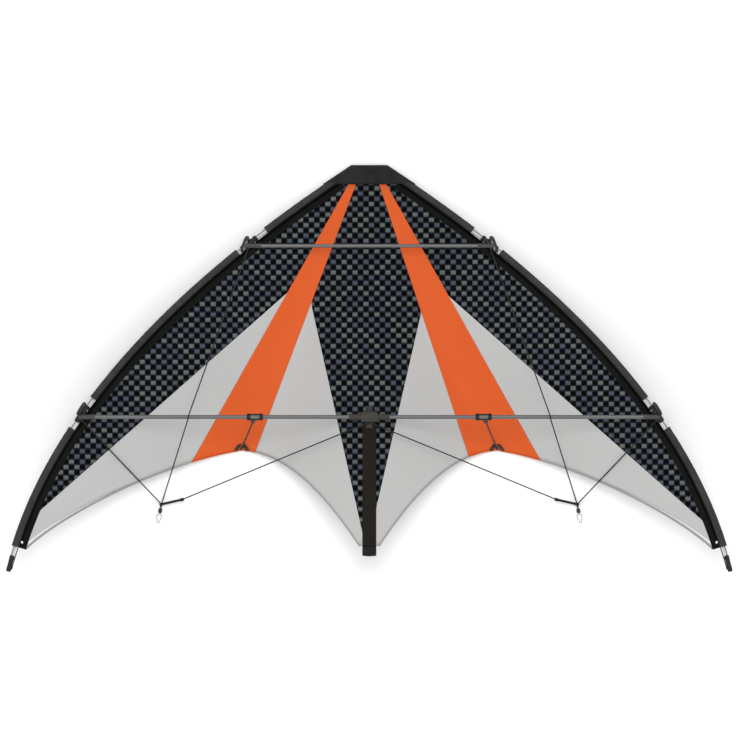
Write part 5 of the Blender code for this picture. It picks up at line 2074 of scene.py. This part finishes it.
@dataclass
class Studio:
    """The floor, the light and the camera."""

    middle: tuple[float, float] = (-0.0026, 0.4044)
    view_width: float = 1.4661
    distance: float = 80.0
    room: float = 0.92
    lamp_light: float = 0.48
    lamp_away: float = 8.0
    lamp_half_angle: float = math.radians(11)
    lamp_lean: float = math.radians(11)

    def build(self, frame: KiteFrame) -> None:
        """Makes all three."""
        self.floor()
        self.light(frame)
        self.camera(frame)

    def floor(self) -> None:
        """A plain pale floor."""
        mesh = bpy.data.meshes.new("floor")
        reach = 12.0
        corners = [(-reach, -reach, 0), (reach, -reach, 0), (reach, reach, 0), (-reach, reach, 0)]
        mesh.from_pydata(corners, [], [(0, 1, 2, 3)])
        obj = bpy.data.objects.new("floor", mesh)
        bpy.context.scene.collection.objects.link(obj)
        obj.location.z = -0.0002
        shader = Shader("floor_look", grey(0.93), roughness=0.9)
        obj.data.materials.append(shader.material)

    def light(self, frame: KiteFrame) -> None:
        """A white room, and one large soft lamp above the nose."""
        world = bpy.data.worlds.new("room")
        bpy.context.scene.world = world
        world.use_nodes = True
        background = world.node_tree.nodes["Background"]
        background.inputs[0].default_value = (1.0, 1.0, 1.0, 1)
        background.inputs[1].default_value = self.room
        lamp = bpy.data.lights.new("softbox", "AREA")
        lamp.shape = "DISK"
        lamp.size = 2 * self.lamp_away * math.tan(self.lamp_half_angle)
        lamp.energy = self.lamp_light * math.pi**2 * self.lamp_away**2
        obj = bpy.data.objects.new("softbox", lamp)
        bpy.context.scene.collection.objects.link(obj)
        lean = frame.tilt + self.lamp_lean
        back = np.array([0.0, math.sin(lean), math.cos(lean)])
        obj.location = frame.row(np.array([0, 0.4, 0])) + back * self.lamp_away
        obj.rotation_euler = self.aim(back)
        bpy.context.scene.view_settings.view_transform = "Standard"

    @staticmethod
    def aim(back: Array) -> tuple[float, float, float]:
        """The rotation whose local Z points along a direction, its Y as near as it can to +Y."""
        return Vector(back).to_track_quat("Z", "Y").to_euler()

    def camera(self, frame: KiteFrame) -> None:
        """Square to the plane of the leading edges, nose up."""
        data = bpy.data.cameras.new("camera")
        data.sensor_width = 36.0
        data.lens = data.sensor_width * self.distance / self.view_width
        data.clip_start = 1.0
        data.clip_end = 200.0
        obj = bpy.data.objects.new("camera", data)
        bpy.context.scene.collection.objects.link(obj)
        x, s = self.middle
        obj.location = frame.row(np.array([x, s, self.distance]))
        obj.rotation_euler = (-frame.tilt, 0, 0)
        bpy.context.scene.camera = obj


def connectors(half: Half) -> list[EdgeConnector]:
    """The two connectors of one half."""
    return [
        EdgeConnector(
            half,
            "upper",
            PLAN.upper_joint,
            0.0035,
            (0.035, 0.011, 0.007),
            (0.0023, 0.0030, 0.0045),
            math.radians(19.5),
        ),
        EdgeConnector(
            half,
            "lower",
            PLAN.lower_joint,
            0.0040,
            (0.030, 0.009, 0.007),
            (-0.0030, 0.0165, 0.0105),
            math.radians(32),
        ),
    ]


def main() -> None:
    """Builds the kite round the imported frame, then the room."""
    logging.basicConfig(level=logging.INFO, format="%(message)s")
    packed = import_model()
    frame = KiteFrame.from_record(packed["record"], (0.0, 0.019, 0.009))
    shop = Workshop(frame)
    Sail().build(shop)
    Spine().build(shop)
    Spreaders().build(shop)
    for half in Half:
        LeadingEdge(half).build(shop)
        for connector in connectors(half):
            connector.build(shop)
        StandOff(half).build(shop)
        Bridle(half).build(shop)
    Studio().build(frame)
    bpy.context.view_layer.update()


if __name__ == "__main__":
    main()
